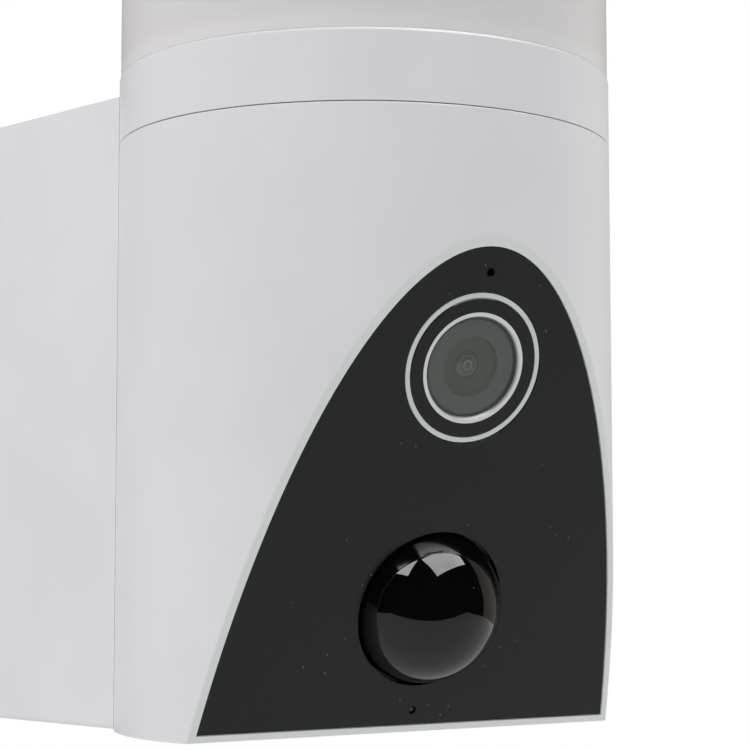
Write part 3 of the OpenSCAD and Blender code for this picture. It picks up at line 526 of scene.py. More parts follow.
# ---- Front panel ----
# A plate of glossy black polycarbonate, let into the slanted front a hair below the rim and bonded
# down on its gasket. It has holes for the microphone, the lens, the movement sensor and the status
# light, and its face has picked up a little pale dust.
panel_recess, panel_t, panel_gap = 0.3 * mm, 2.2 * mm, 0.14 * mm
black_panel = moulded("black_panel_plastic", shade(9, 14, 10), shade(12, 17, 13), 0.13, 0.0006,
                      0.0000006, Specular_IOR_Level=0.34)
pale_dust = black_panel.specks(0.0016, 0.12) * black_panel.noise(0.02, 1).ramp(0.35, 0.6)
black_panel.set(Base_Color=black_panel.mix(pale_dust * 0.55, black_panel.tone(), shade(150, 150, 146)))
panel_bm = bmesh.new()
cylinder(panel_bm, body_r, floor_z, rim_z, Matrix.Translation(axis))
panel_face = slant_cut(panel_bm, 0)
# With a gap of 0.18 mm or more, the outline's last short edge turns over and the holes aren't cut.
bmesh.ops.inset_region(panel_bm, faces=[panel_face], thickness=rim_w + panel_gap, use_even_offset=True)
bmesh.ops.delete(panel_bm, geom=[f for f in panel_bm.faces if f is not panel_face], context="FACES")
bmesh.ops.translate(panel_bm, vec=-slant_out * panel_recess, verts=panel_bm.verts)
thick = bmesh.ops.extrude_face_region(panel_bm, geom=[panel_face])
bmesh.ops.translate(panel_bm, vec=-slant_out * panel_t,
                    verts=[g for g in thick["geom"] if isinstance(g, bmesh.types.BMVert)])
bmesh.ops.recalc_face_normals(panel_bm, faces=panel_bm.faces)
panel = new_object("front_plate", panel_bm)
panel_holes = bmesh.new()
for s, r, steps in ((lens_s, 14.6 * mm, 160), (sensor_s, 15.55 * mm, 160), (mic_s, 0.85 * mm, 40),
                    (status_s, 0.8 * mm, 40)):
    cylinder(panel_holes, r, -5 * mm, 1 * mm, on_slant(s), steps)
boolean(panel, [new_object("cutter", panel_holes)])
clean(panel)
edge_bevel(panel, 0.12 * mm)
settle(panel, "housing", black_panel, ["front_panel"])

# ---- Camera window ----
# A pale painted ring lies just below the panel's face, round a black moulded bezel. Inside it a
# turned and anodised ring slopes down to a hard-coated window, printed smoky grey round its clear
# middle. The lens barrel, with its grooved front cone, looks out through that middle.
ring_r, ring_in_r, window_r, window_in_r = 14.47 * mm, 13.47 * mm, 10.72 * mm, 9.92 * mm
ring_depth, window_face, window_back = 0.4 * mm, 1.0 * mm, 1.3 * mm
barrel_r, barrel_front = 7.0 * mm, 2.55 * mm
at_lens = on_slant(lens_s)

pale_paint = moulded("pale_ring_paint", shade(206, 211, 210), shade(212, 216, 215), 0.4, 0.0001,
                     0.000002)
outer_ring = bmesh.new()
turned(outer_ring, [(ring_in_r, -2.4 * mm), (ring_r, -2.4 * mm),
                    *arc(ring_r - 0.1 * mm, -ring_depth - 0.1 * mm, 0.1 * mm, 0, 90, 3),
                    *arc(ring_in_r + 0.1 * mm, -ring_depth - 0.1 * mm, 0.1 * mm, 90, 180, 3)], at_lens)
settle(new_object("lens_ring", outer_ring), "housing", pale_paint, ["lens_outer_ring"])

bezel_plastic = moulded("bezel_plastic", shade(9, 13, 10), shade(12, 16, 13), 0.15, 0.0006, 0.0000006,
                        Specular_IOR_Level=0.34)
bezel = bmesh.new()
lip = 0.08 * mm
turned(bezel, [(window_r + lip, -panel_recess), (ring_in_r - 0.14 * mm, -panel_recess),
               (ring_in_r - 0.05 * mm, -panel_recess - 0.09 * mm), (ring_in_r - 0.05 * mm, -2.45 * mm),
               (ring_r, -2.45 * mm), (ring_r, -5.5 * mm), (ring_r + 1.7 * mm, -5.5 * mm),
               (ring_r + 1.7 * mm, -7.5 * mm), (10.4 * mm, -7.5 * mm), (10.4 * mm, -21 * mm),
               (8.6 * mm, -21 * mm), (8.6 * mm, -5.5 * mm), (7.5 * mm, -5.5 * mm),
               (7.5 * mm, -window_back - 0.12 * mm), (window_r + 0.05 * mm, -window_back - 0.12 * mm),
               (window_r + 0.05 * mm, -panel_recess - 0.1 * mm)], at_lens)
settle(new_object("bezel", bezel), "housing", bezel_plastic, ["lens_bezel"])

ring_metal = moulded("anodised_ring", shade(216, 220, 218), shade(222, 225, 223), 0.36, 0.00008,
                     0.000001, Metallic=0.15)
# Painted shade: the ring's wall turns darker the deeper it runs below the slanted face, towards the window.
painted_recess_shade = before_slant(ring_metal).ramp(-0.42 * mm, -0.98 * mm)
ring_metal.set(Base_Color=ring_metal.mix(painted_recess_shade, ring_metal.tone(), shade(60, 62, 60)))
dish = bmesh.new()
turned(dish, [(window_r, -panel_recess - 0.05 * mm), (window_r, -window_face + 0.01 * mm),
              (window_in_r - 0.33 * mm, -window_face + 0.01 * mm),
              (window_in_r + 0.02 * mm, -window_face + 0.4 * mm),
              *arc(window_in_r + 0.17 * mm, -panel_recess - 0.2 * mm, 0.14 * mm, 180, 90, 4)], at_lens)
settle(new_object("window_bevel", dish), "housing", ring_metal, ["window_ring"])

window_glass = Finish("coated_window", Roughness=0.06, IOR=1.5)
smear = window_glass.noise(0.006, 3).ramp(0.35, 0.7)
window_glass.set(Base_Color=window_glass.mix(smear, shade(92, 98, 94), shade(98, 103, 98)),
                 Alpha=0.30 + smear * 0.05, Roughness=0.05 + smear * 0.05)
pane = bmesh.new()
turned(pane, [(0, -window_back), (window_r - 0.1 * mm, -window_back),
              (window_r - 0.1 * mm, -window_face - 0.05 * mm), (window_r - 0.2 * mm, -window_face),
              (0, -window_face)], at_lens)
settle(new_object("window", pane), "housing", window_glass, ["lens_window"])

smoke_print = moulded("smoke_print", shade(120, 125, 118), shade(125, 129, 122), 0.6, 0.0001, 0.000001)
mask = bmesh.new()
mask_in_r, mask_neck_r, mask_r = 5.85 * mm, 7.4 * mm, 9.1 * mm
mask_face, mask_step, mask_back = (-window_back - d * mm for d in (0.02, 0.08, 1.2))
turned(mask, [(mask_in_r, mask_face), (mask_in_r, mask_back), (mask_neck_r, mask_back),
              (mask_neck_r, mask_step), (mask_r, mask_step), (mask_r, mask_face)], at_lens)
settle(new_object("window_print", mask), "housing", smoke_print)

barrel_black = moulded("blackened_barrel", shade(106, 105, 88), shade(111, 109, 92), 0.55, 0.00012,
                       0.000002, Metallic=0.2)
barrel = bmesh.new()
cone_r, groove_w, groove_fall = 5.4 * mm, 0.45 * mm, 0.1 * mm
cone = [(cone_r, -barrel_front)]
for k in range(1, 7):
    r, z = cone_r - groove_w * k, -barrel_front - groove_fall * k
    cone += [(r + 0.12 * mm, z + 0.02 * mm), (r, z)]
turned(barrel, [*cone, (2.7 * mm, -barrel_front - 5 * mm), (3 * mm, -barrel_front - 5 * mm),
                (3 * mm, -barrel_front - 19.6 * mm), (barrel_r, -barrel_front - 19.6 * mm),
                (barrel_r, -barrel_front - 0.2 * mm), (barrel_r - 0.2 * mm, -barrel_front)], at_lens)
settle(new_object("barrel", barrel), "housing", barrel_black, ["camera_barrel"])

coated_glass = Finish("coated_lens", Roughness=0.03, Coat_Weight=1.0, Coat_Roughness=0.02, Coat_IOR=1.7)
from_lens = coated_glass.node("ShaderNodeVectorMath", {"operation": "SUBTRACT"}, {
    0: coated_glass.place, 1: tuple(at_lens.translation)})
off_axis = coated_glass.node("ShaderNodeVectorMath", {"operation": "CROSS_PRODUCT"}, {
    0: from_lens, 1: slant_out})
out_r = coated_glass.node("ShaderNodeVectorMath", {"operation": "LENGTH"}, {0: off_axis}, output="Value")
# Painted reflections: two pale rings are drawn in the front lens's colour, dimmed where the glass is
# smudged.
painted_lens_reflections = (out_r.ramp(0.6 * mm, 0.75 * mm) * out_r.ramp(1.1 * mm, 0.9 * mm)
         + out_r.ramp(1.65 * mm, 1.8 * mm) * out_r.ramp(2.1 * mm, 1.95 * mm) * 0.5)
smudge = coated_glass.noise(0.002, 2).ramp(0.3, 0.7)
coated_glass.set(Base_Color=coated_glass.mix(painted_lens_reflections * (smudge * 0.5 + 0.5), shade(98, 97, 82),
                                             shade(190, 190, 178)))
front = bmesh.new()
glass_r, glass_back, glass_rise = 2.62 * mm, barrel_front + 2.05 * mm, 0.75 * mm
glass_edge = -glass_back + 1.4 * mm
turned(front, [(0, -glass_back), (glass_r, -glass_back), (glass_r, glass_edge),
               *[(glass_r * math.cos(a), glass_edge + glass_rise * math.sin(a))
                 for a in (math.radians(9 * k) for k in range(1, 10))], (0, glass_edge + glass_rise)],
       at_lens, 96)
settle(new_object("first_lens", front), "housing", coated_glass, ["front_lens"])

# ---- Movement sensor ----
# A dome pressed from infrared-clear black polyethylene, glossy as the mould left it. It comes up
# through the panel's larger hole from a flange clamped behind, so a dark groove runs round it.
dome_r, dome_sink, dome_flange = 15.2 * mm, 3.5 * mm, 17.05 * mm
at_sensor = on_slant(sensor_s)
dome_plastic = Finish("glossy_dome", Roughness=0.04, Specular_IOR_Level=0.45, IOR=1.5)
rub = dome_plastic.noise(0.004, 4, (1, 1, 0.3)).ramp(0.55, 0.85)
lint = dome_plastic.specks(0.0024, 0.10)
dome_black = dome_plastic.mix(rub, shade(9, 9, 10), shade(13, 13, 14))
dome_plastic.set(Base_Color=dome_plastic.mix(lint * 0.5, dome_black, shade(130, 130, 126)),
                 Roughness=rub * 0.05 + 0.03 + lint * 0.3,
                 Normal=dome_plastic.bump(dome_plastic.noise(0.003, 1), 0.000006))
dome = bmesh.new()
dome_back, flange_t, dome_in_r = 2.6 * mm, 1.4 * mm, dome_r - 1 * mm
turned(dome, [*arc(0, -dome_sink, dome_r, 90, 5, 48), (dome_r + 0.1 * mm, -dome_back),
              (dome_flange, -dome_back), (dome_flange, -dome_back - flange_t),
              (dome_in_r, -dome_back - flange_t), *arc(0, -dome_sink, dome_in_r, 0, 90, 24)], at_sensor)
settle(new_object("sensor_dome", dome), "housing", dome_plastic, ["pir_dome"])

# ---- Status light ----
# A rod of clear acrylic brings the status light up into the small hole near the panel's foot. Its
# end is a shallow polished dome.
pipe_clear = Finish("clear_acrylic", Roughness=0.1, IOR=1.49)
pipe_clear.set(Base_Color=pipe_clear.mix(pipe_clear.noise(0.0006), shade(28, 36, 47), shade(42, 50, 62)),
               Roughness=pipe_clear.noise(0.0004) * 0.12 + 0.05)
pipe = bmesh.new()
turned(pipe, [(0, -19.4 * mm), (0.74 * mm, -19.4 * mm), (0.74 * mm, -0.95 * mm), (0.55 * mm, -0.78 * mm),
              (0.3 * mm, -0.71 * mm), (0, -0.69 * mm)], on_slant(status_s), 48)
settle(new_object("light_rod", pipe), "housing", pipe_clear, ["status_light_pipe"])

# ---- Collar ----
# A ring moulded from the same white polycarbonate as the body. It plugs into the body's open top,
# over a shadow gap, and its chamfered upper edge catches the light under the diffuser.
collar_low, collar_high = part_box("collar_ring")
collar_high.z += 0.75 * mm
collar_z = rim_z + rim_lift + 0.14 * mm
spigot_r, collar_in = inner_r - 0.1 * mm, inner_r - 3.1 * mm
about_axis = Matrix.Translation(axis)
edge_r, chamfer, seat_depth = 0.12 * mm, 0.3 * mm, 7 * mm
collar = bmesh.new()
turned(collar, [(collar_in, collar_low.z), (spigot_r, collar_low.z), (spigot_r, collar_z),
                *arc(body_r - edge_r, collar_z + edge_r, edge_r, -90, 0, 3),
                (body_r, collar_high.z - 2 * chamfer),
                (body_r - 0.03 * mm, collar_high.z - 2 * chamfer + 0.12 * mm),
                (body_r - chamfer, collar_high.z), (inner_r, collar_high.z),
                (inner_r, collar_high.z - seat_depth), (collar_in, collar_high.z - seat_depth)],
       about_axis)
settle(new_object("collar", collar), "housing", white_plastic, ["collar_ring"])

# ---- Diffuser ----
# A tall tube blown in opal acrylic, satin outside, standing in the collar on its seal. The wall is
# thicker round its foot, and the slightly paler band that this gives is painted on there as light.
diffuser_low, diffuser_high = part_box("diffuser")
diff_r = (diffuser_high.x - diffuser_low.x) / 2
diff_in_r, neck_r, neck_in_r = diff_r - 2.2 * mm, 47.35 * mm, 45.15 * mm
diff_z = collar_high.z + 0.02 * mm
opal = Finish("opal_acrylic", Roughness=0.38, Specular_IOR_Level=0.42)
height_up = opal.node("ShaderNodeSeparateXYZ", {}, {0: opal.place}, output=2)
# Painted light: a paler band round the foot, where the wall is thicker.
painted_foot_light = height_up.ramp(diff_z + 5 * mm, diff_z + 0.8 * mm)
cloud = opal.noise(0.05, 3).ramp(0.3, 0.7)
opal_body = opal.mix(cloud, shade(221, 218, 219), shade(224, 221, 221))
opal_skin = opal.noise(0.00025, 2)
opal.set(Base_Color=opal.mix(painted_foot_light * 0.7, opal_body, shade(232, 230, 229)),
         Roughness=opal_skin * 0.06 + 0.33 + cloud * 0.04,
         Normal=opal.bump(opal_skin, 0.000004))
tube = bmesh.new()
turned(tube, [(neck_in_r, diffuser_low.z), (neck_r, diffuser_low.z), (neck_r, diff_z),
              *arc(diff_r - 0.1 * mm, diff_z + 0.1 * mm, 0.1 * mm, -90, 0, 3),
              *arc(diff_r - 0.3 * mm, diffuser_high.z - 0.3 * mm, 0.3 * mm, 0, 90, 3),
              (diff_in_r, diffuser_high.z), (diff_in_r, diff_z + 3 * mm), (neck_in_r, diff_z + 1.6 * mm)],
       about_axis)
settle(new_object("diffuser_tube", tube), "housing", opal, ["diffuser"])

# ---- Top cap ----
# A white lid moulded like the body, snapped into the diffuser's open end over a fine shadow line.
# Its rim is turned over in one full round so rain runs off.
cap_low, cap_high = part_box("top_cap")
cap_z = diffuser_high.z + 0.2 * mm
cap_round, cap_wall = 4 * mm, 2.2 * mm
lid = bmesh.new()
plug_r, plug_in_r = diff_in_r - 0.15 * mm, diff_in_r - 2.3 * mm
turned(lid, [(plug_in_r, cap_low.z), (plug_r, cap_low.z), (plug_r, cap_z),
             *arc(body_r - 0.25 * mm, cap_z + 0.25 * mm, 0.25 * mm, -90, 0, 3),
             *arc(body_r - cap_round, cap_high.z - cap_round, cap_round, 0, 90, 14),
             (body_r - 9 * mm, cap_high.z), (body_r - 9.4 * mm, cap_high.z - 0.25 * mm),
             (body_r - 9.8 * mm, cap_high.z - 0.25 * mm), (body_r - 10.2 * mm, cap_high.z),
             (0, cap_high.z), (0, cap_high.z - cap_wall), (plug_in_r, cap_high.z - cap_wall)], about_axis)
settle(new_object("cap", lid), "housing", white_plastic, ["top_cap"])

# ---- Arm ----
# A hollow white moulding that widens from the body's back to the wall and hides the driver. Its
# front end is hollowed to the body's round, and screws from inside the body pull it tight. Two
# countersunk holes underneath take the screws that lock it on the wall plate.
arm_low, arm_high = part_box("arm_housing")
wall_y = arm_high.y
arm_wall = 2.5 * mm
half_axis, half_wall = 41.5 * mm, 63.3 * mm
wall_gap = 86 * mm
lock_x, lock_y = 30 * mm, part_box("plate_screws")[0].y + 3.8 * mm


def arm_block(bm, inset, low, high, back, front):
    """The arm's trapezium plan between two heights, drawn in by inset at its sides."""
    at_front, at_back = (half_axis + (half_wall - half_axis) * (y - axis.y) / wall_gap - inset
                         for y in (front, back))
    face = bm.faces.new([bm.verts.new((x, y, low)) for x, y in (
        (-at_front, front), (at_front, front), (at_back, back), (-at_back, back))])
    raised = bmesh.ops.extrude_face_region(bm, geom=[face])
    bmesh.ops.translate(bm, vec=(0, 0, high - low),
                        verts=[g for g in raised["geom"] if isinstance(g, bmesh.types.BMVert)])
    bmesh.ops.recalc_face_normals(bm, faces=bm.faces)


arm_bm = bmesh.new()
arm_block(arm_bm, 0, arm_low.z, arm_high.z, wall_y, axis.y + 1 * mm)
long_edges = [e for e in arm_bm.edges if abs(e.verts[0].co.z - e.verts[1].co.z) < 1e-6
              and abs(e.verts[0].co.y - e.verts[1].co.y) > 0.01]
round_off(arm_bm, long_edges, 1.1 * mm, 4)
arm = new_object("arm", arm_bm)
hollow = bmesh.new()
arm_block(hollow, arm_wall, arm_low.z + arm_wall, arm_high.z - arm_wall, wall_y + 2 * mm, axis.y + 1 * mm)
saddle_r, spare = body_r + 0.05 * mm, 10 * mm
front_wall_bm = bmesh.new()
cylinder(front_wall_bm, saddle_r + arm_wall, arm_low.z - spare, arm_high.z + spare, about_axis)
hollow_piece, keep_front = new_object("hollow", hollow), new_object("cutter", front_wall_bm)
boolean(hollow_piece, [keep_front])
socket_bm = bmesh.new()
cylinder(socket_bm, saddle_r, arm_low.z - spare, arm_high.z + spare, about_axis)
ports = bmesh.new()
lock_head_r, lock_hole_r = 4.2 * mm, 2.2 * mm
for x in (-lock_x, lock_x):
    at_lock = Matrix.Translation((x, lock_y, arm_low.z))
    cylinder(ports, lock_head_r, -1 * mm, 1.7 * mm, at_lock, 48)
    cylinder(ports, lock_hole_r, 1.4 * mm, 9 * mm, at_lock, 32)
gland_port = bmesh.new()
cylinder(gland_port, gland_r, body_r - 8 * mm, body_r + 8 * mm, at_gland, 64)
boolean(arm, [hollow_piece, new_object("cutter", socket_bm), new_object("cutter", ports),
              new_object("cutter", gland_port)])
settle(arm, "housing", white_plastic, ["arm_housing"])

# ---- Service cover ----
# A small white door under the body, hinged on a steel pin, over the card slot and the reset
# button. It has rounded free corners, a knuckle along the pin, a snap tab and a rubber seal.
cover_t, tab_y = 1.6 * mm, (24.1 * mm, 25.1 * mm)
door = bmesh.new()
box(door, (cover_x - cover_w / 2, cover_x + cover_w / 2), (hinge_y, hinge_y + cover_l), (0, cover_t), under)
round_off(door, free_corners(door), 1 * mm, 5)
cover = new_object("door", door)
clean(cover)
knuckle = bmesh.new()
along_x = under @ Matrix.Translation((0, hinge_y, hinge_z)) @ Matrix.Rotation(math.pi / 2, 4, "Y")
cylinder(knuckle, hinge_r, cover_x - cover_w / 2, cover_x + cover_w / 2, along_x, 48)
tab = bmesh.new()
box(tab, (cover_x - 3 * mm, cover_x + 3 * mm), tab_y, (1.5 * mm, 3.25 * mm), under)
boolean(cover, [new_object("cutter", knuckle), new_object("cutter", tab)], "UNION")
bore = bmesh.new()
cylinder(bore, 0.65 * mm, cover_x - cover_w, cover_x + cover_w, along_x, 32)
boolean(cover, [new_object("cutter", bore)])
clean(cover)
edge_bevel(cover, 0.15 * mm, 40)
settle(cover, "service_cover", white_plastic, ["service_cover"])


# ---- Reset button ----
# A red moulded plunger with a dished tip, deep in the service recess. It slides up against its
# switch, which pushes it back.
button_low, button_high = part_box("reset_button")
button_axis = Matrix.Translation(((button_low.x + button_high.x) / 2, (button_low.y + button_high.y) / 2, 0))
button_r, flange_r = 1.8 * mm, 2.6 * mm
button_red = moulded("red_button_plastic", shade(190, 52, 44), shade(204, 64, 54), 0.4, 0.00015, 0.000003)
plunger = bmesh.new()
turned(plunger, [(0, button_low.z + 0.3 * mm), (0.9 * mm, button_low.z + 0.18 * mm),
                 (1.35 * mm, button_low.z),
                 *arc(button_r - 0.3 * mm, button_low.z + 0.3 * mm, 0.3 * mm, -90, 0, 4),
                 (button_r, button_high.z - 0.8 * mm), (flange_r, button_high.z - 0.8 * mm),
                 (flange_r, button_high.z), (0, button_high.z)], button_axis, 64)
settle(new_object("button", plunger), "reset_button", button_red, ["reset_button"])

# ---- Wall plate ----
# Zinc-plated sheet steel, folded over at its top and foot. It hangs on two screws through its
# slots, the cable comes through a grommet in it, and the lower fold takes the locking screws.
plate_low, plate_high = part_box("wall_plate")
plate_t, slot_w, slot_l, slot_gap = 1.5 * mm, 5 * mm, 12 * mm, 60 * mm
zinc = Finish("zinc_plate", Metallic=1.0)
spangle = zinc.node("ShaderNodeTexVoronoi", {}, {"Vector": zinc.place, "Scale": 260.0}, output="Color")
grain_of = zinc.node("ShaderNodeSeparateColor", {}, {0: spangle})
rolled = zinc.noise(0.0006, 3, (0.05, 1, 1))
stain = zinc.noise(0.02, 4).ramp(0.5, 0.75)
zinc.set(Base_Color=zinc.mix(stain * 0.5, zinc.mix(grain_of, shade(176, 178, 180), shade(198, 200, 202)),
                             shade(150, 149, 146)),
         Roughness=grain_of * 0.14 + rolled * 0.1 + 0.26,
         Normal=zinc.bump(rolled, 0.000006))
sheet = bmesh.new()
box(sheet, (plate_low.x, plate_high.x), (plate_low.y, plate_high.y), (plate_low.z, plate_high.z))
inside = bmesh.new()
box(inside, (plate_low.x - 1 * mm, plate_high.x + 1 * mm), (plate_low.y - 1 * mm, plate_high.y - plate_t),
    (plate_low.z + plate_t, plate_high.z - plate_t))
for bm, bend in ((sheet, 2.0 * mm), (inside, 0.6 * mm)):
    back_y = max(v.co.y for v in bm.verts)
    folds = [e for e in bm.edges if all(abs(v.co.y - back_y) < 1e-6 for v in e.verts)
             and abs(e.verts[0].co.x - e.verts[1].co.x) > 0.01]
    round_off(bm, folds, bend, 6)
punched = bmesh.new()
slot_bars = bmesh.new()
from_wall, slot_reach = Matrix.Rotation(math.pi / 2, 4, "X"), (slot_l - slot_w) / 2
for x in (-slot_gap / 2, slot_gap / 2):
    for e in (-1, 1):
        cylinder(punched, slot_w / 2, -1 * mm, 3 * mm,
                 Matrix.Translation((x + e * slot_reach, 0, 0)) @ from_wall, 48)
    box(slot_bars, (x - slot_reach, x + slot_reach), (-3 * mm, 1 * mm), (-slot_w / 2, slot_w / 2))
grommet_low, grommet_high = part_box("cable_grommet")
grommet_at = Matrix.Translation(((grommet_low.x + grommet_high.x) / 2, 0,
                                 (grommet_low.z + grommet_high.z) / 2))
plate_ports = bmesh.new()
cylinder(plate_ports, 8.95 * mm, -1 * mm, 3 * mm, grommet_at @ from_wall, 96)
for x in (-lock_x, lock_x):
    cylinder(plate_ports, 2.05 * mm, plate_low.z - 1 * mm, plate_low.z + 3 * mm,
             Matrix.Translation((x, lock_y, 0)), 32)
plate = new_object("mounting_plate", sheet)
boolean(plate, [new_object("cutter", bm) for bm in (inside, punched, slot_bars, plate_ports)])
clean(plate)
edge_bevel(plate, 0.15 * mm, 40)
settle(plate, "housing", zinc, ["wall_plate"])

# ---- Cable grommet ----
# A turned-over ring of black rubber, pressed into the plate's hole, that keeps the mains cable off
# the cut edge of the steel.
rubber = moulded("black_rubber", shade(36, 36, 37), shade(44, 44, 45), 0.72, 0.0003, 0.000012,
                 Specular_IOR_Level=0.35)
inlet_r, grommet_r = 4.5 * mm, 8.9 * mm
grommet = bmesh.new()
lip_r = 0.5 * mm
turned(grommet, [*arc(inlet_r + lip_r, -lip_r, lip_r, 180, 90, 4),
                 *arc(grommet_r - lip_r, -lip_r, lip_r, 90, 0, 4),
                 (grommet_r, -plate_t), (grommet_r + 2 * mm, -plate_t),
                 *arc(grommet_r + 1.4 * mm, -plate_t - 1.4 * mm, 0.6 * mm, 0, -90, 4),
                 *arc(inlet_r + lip_r, -plate_t - 1.5 * mm, lip_r, -90, -180, 4)],
       grommet_at @ Matrix.Rotation(-math.pi / 2, 4, "X"), 96)
settle(new_object("grommet", grommet), "housing", rubber, ["cable_grommet"])


def dress(finish, *names):
    """Gives the parts whose shapes are right as they stand their finish."""
    for name in names:
        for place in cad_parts[name].material_slots:
            place.material = finish.material


# ---- Seals ----
# Moulded silicone cords, strips and boots that keep the weather out at every joint of the housing.
dress(rubber, "body_seal", "panel_gasket", "mic_boot", "cover_seal", "diffuser_seal", "harness_gland")


# ---- Circuit boards ----
# Glass-epoxy boards under green solder mask, with raised copper tracks and bright tinned pads.
def circuit(name, mask_low, mask_high, track_tone, roughness):
    made = Finish(name, Roughness=roughness)
    lanes = made.node("ShaderNodeTexWave", {"bands_direction": "DIAGONAL"}, {
        "Vector": made.place, "Scale": 260.0, "Distortion": 3.0, "Detail": 1.0, "Detail Scale": 0.6})
    tracks = (lanes > 0.72) * (made.noise(0.007, 1) > 0.5)
    pads = made.node("ShaderNodeTexVoronoi", {"distance": "CHEBYCHEV"}, {
        "Vector": made.place, "Scale": 420.0, "Randomness": 0.35}) < 0.2
    pads = pads * (made.noise(0.009, 1) > 0.56)
    colour = made.mix(made.noise(0.0008).ramp(0.35, 0.65), mask_low, mask_high)
    colour = made.mix(tracks, colour, track_tone)
    made.set(Base_Color=made.mix(pads, colour, shade(196, 196, 190)), Metallic=pads * 0.9,
             Roughness=roughness - pads * 0.15 + made.noise(0.0005) * 0.08,
             Normal=made.bump(tracks + pads, 0.00003))
    return made


green_board = circuit("green_circuit_board", shade(22, 84, 52), shade(28, 96, 60), shade(46, 122, 76), 0.38)
dress(green_board, "camera_board", "pir_board", "card_board", "main_board", "driver_board")

# ---- Screened modules and sensors ----
# The processor's shield, the radio, the card socket, the infrared sensor and the microphone are
# closed in drawn tinned steel, with rolling marks and finger smears.
tin = Finish("tinned_steel", Metallic=1.0)
drawn = tin.noise(0.0005, 3, (0.06, 1, 1))
finger = tin.noise(0.008, 4).ramp(0.5, 0.7)
tin.set(Base_Color=tin.mix(finger * 0.6, shade(196, 198, 199), shade(172, 172, 170)),
        Roughness=drawn * 0.14 + 0.22 + finger * 0.12, Normal=tin.bump(drawn, 0.000005))
dress(tin, "pir_sensor", "mic_capsule", "card_socket", "processor_shield", "radio_module")

# ---- Screws and hinge pin ----
# Cold-headed steel, nickel plated, with turning marks and a slightly dull, handled surface.
steel = Finish("plated_steel", Metallic=1.0)
turning = steel.noise(0.00018, 2, (1, 1, 0.2))
dull = steel.noise(0.0016, 3).ramp(0.45, 0.7)
steel.set(Base_Color=steel.mix(dull, shade(188, 190, 193), shade(150, 151, 152)),
          Roughness=turning * 0.12 + 0.24 + dull * 0.16, Normal=steel.bump(turning, 0.000006))
dress(steel, "camera_screws", "pir_retainer_screws", "cover_pin", "chassis_screws", "board_screws",
      "deck_screws", "column_screws", "arm_screws", "plate_screws")

# ---- Lens holder and sensor clamp ----
# Black glass-filled plastic, matt, with the faint swirl that the fibres leave.
fibre_black = moulded("glass_filled_black", shade(34, 35, 36), shade(44, 45, 46), 0.6, 0.0004, 0.00001)
dress(fibre_black, "lens_holder", "pir_retainer")

# ---- Loudspeaker cone ----
# Pressed black paper pulp with a soft felted surface. It moves a fraction of a millimetre.
pulp = Finish("pulp_cone", Roughness=0.9, Specular_IOR_Level=0.2)
felt = pulp.noise(0.0004, 5, rough=0.7)
pulp.set(Base_Color=pulp.mix(felt, shade(26, 25, 25), shade(48, 47, 46)), Roughness=felt * 0.1 + 0.85,
         Normal=pulp.bump(felt, 0.00006))
dress(pulp, "speaker_cone")

# ---- Inner frames and driver case ----
# Structural pieces in grey polyamide: the chassis, the service well, the loudspeaker's basket, the
# filter's slide, the reset switch, and the box and lid round the light's driver.
grey_plastic = moulded("grey_polyamide", shade(92, 95, 98), shade(102, 105, 108), 0.55, 0.00035, 0.00001)
dress(grey_plastic, "filter_slide", "speaker", "service_well", "reset_switch", "chassis_plate",
      "driver_case", "driver_lid")

# ---- Night filter glass ----
# A square of infrared-cut glass, cyan by transmission and faintly pink where its coating thins.
cut_glass = Finish("infrared_cut_glass", Roughness=0.05)
thin = cut_glass.noise(0.002, 2).ramp(0.4, 0.7)
cut_glass.set(Base_Color=cut_glass.mix(thin, shade(96, 170, 184), shade(176, 152, 176)),
              Alpha=0.55 + thin * 0.1, Roughness=thin * 0.05 + 0.04)
dress(cut_glass, "filter_glass")

# ---- Image sensor ----
# A dark packaged chip with a fine iridescent grid over its light cells.
cells = Finish("sensor_cells", Roughness=0.2)
grid = cells.node("ShaderNodeTexWave", {"bands_direction": "X"}, {"Vector": cells.place, "Scale": 2400.0})
cells.set(Base_Color=cells.mix(grid, shade(40, 44, 58), shade(64, 58, 74)),
          Roughness=grid * 0.1 + 0.15)
dress(cells, "image_sensor")

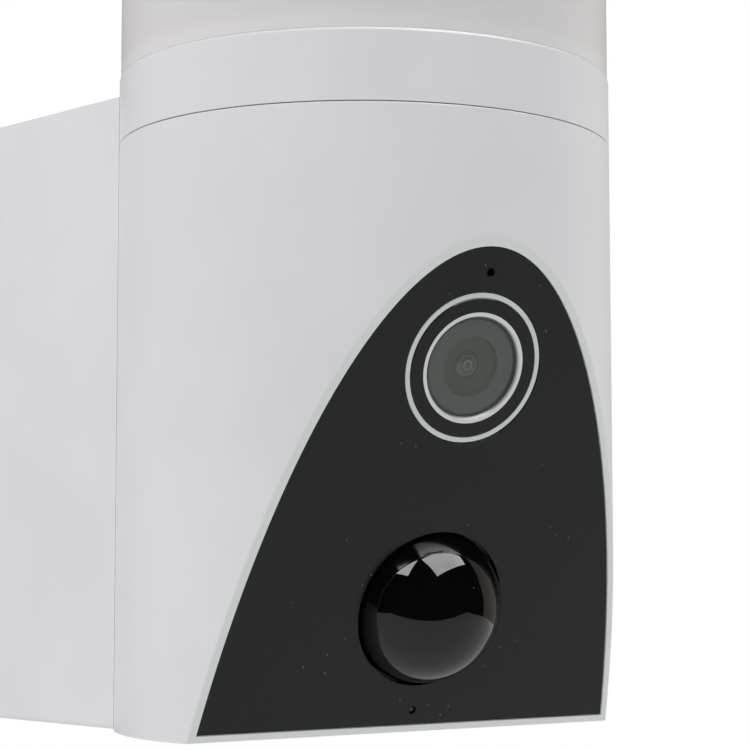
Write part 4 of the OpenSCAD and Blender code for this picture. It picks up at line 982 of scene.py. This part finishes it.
# ---- Light deck ----
# A white disc of the housing's own plastic that closes the body below the light column.
dress(white_plastic, "light_deck")

# ---- Light column ----
# A hexagonal extrusion in bright aluminium that carries the light boards and takes their heat.
aluminium = Finish("extruded_aluminium", Metallic=1.0)
die_lines = aluminium.noise(0.0004, 3, (1, 1, 0.02))
aluminium.set(Base_Color=aluminium.mix(die_lines, shade(178, 180, 183), shade(204, 206, 208)),
              Roughness=die_lines * 0.2 + 0.28, Normal=aluminium.bump(die_lines, 0.00001))
dress(aluminium, "light_column")

# ---- Light boards and chips ----
# Aluminium-backed boards under white solder mask, one on each flat of the column, with rows of
# white chips whose yellow phosphor faces outwards in a pale moulded frame.
white_board = circuit("white_circuit_board", shade(226, 226, 222), shade(234, 234, 231),
                      shade(210, 211, 208), 0.45)
dress(white_board, "light_boards")
phosphor = Finish("phosphor_chip", Roughness=0.45)
frame_edge = phosphor.worn_edge(0.0006)
powder = phosphor.noise(0.0002, 3)
yellow = phosphor.mix(powder, shade(232, 200, 84), shade(242, 216, 112))
phosphor.set(Base_Color=phosphor.mix(frame_edge, yellow, shade(238, 238, 234)),
             Roughness=powder * 0.15 + 0.38, Normal=phosphor.bump(powder, 0.00001))
dress(phosphor, "light_chips")

# ---- Harness ----
# Four insulated wires, each in its own colour, run from a nylon plug on the chassis through the
# gland to the driver.
wires = Finish("harness_wires", Roughness=0.45)
along_row = wires.node("ShaderNodeSeparateXYZ", {}, {0: wires.place}, output=0)
row_w = 13.6 * mm
lane = along_row * (1 / row_w) + 0.5
insulation = wires.node("ShaderNodeValToRGB", {"stops": [
    (0.0, shade(28, 28, 30)), (0.25, shade(176, 48, 40)), (0.5, shade(222, 222, 218)),
    (0.75, shade(48, 118, 66))]}, {0: lane})
insulation.socket.node.color_ramp.interpolation = "CONSTANT"
print_marks = wires.noise(0.0006, 2)
wires.set(Base_Color=wires.mix(print_marks * 0.25, insulation, shade(120, 118, 116)),
          Roughness=print_marks * 0.15 + 0.38, Normal=wires.bump(print_marks, 0.00001))
dress(wires, "harness_wires")
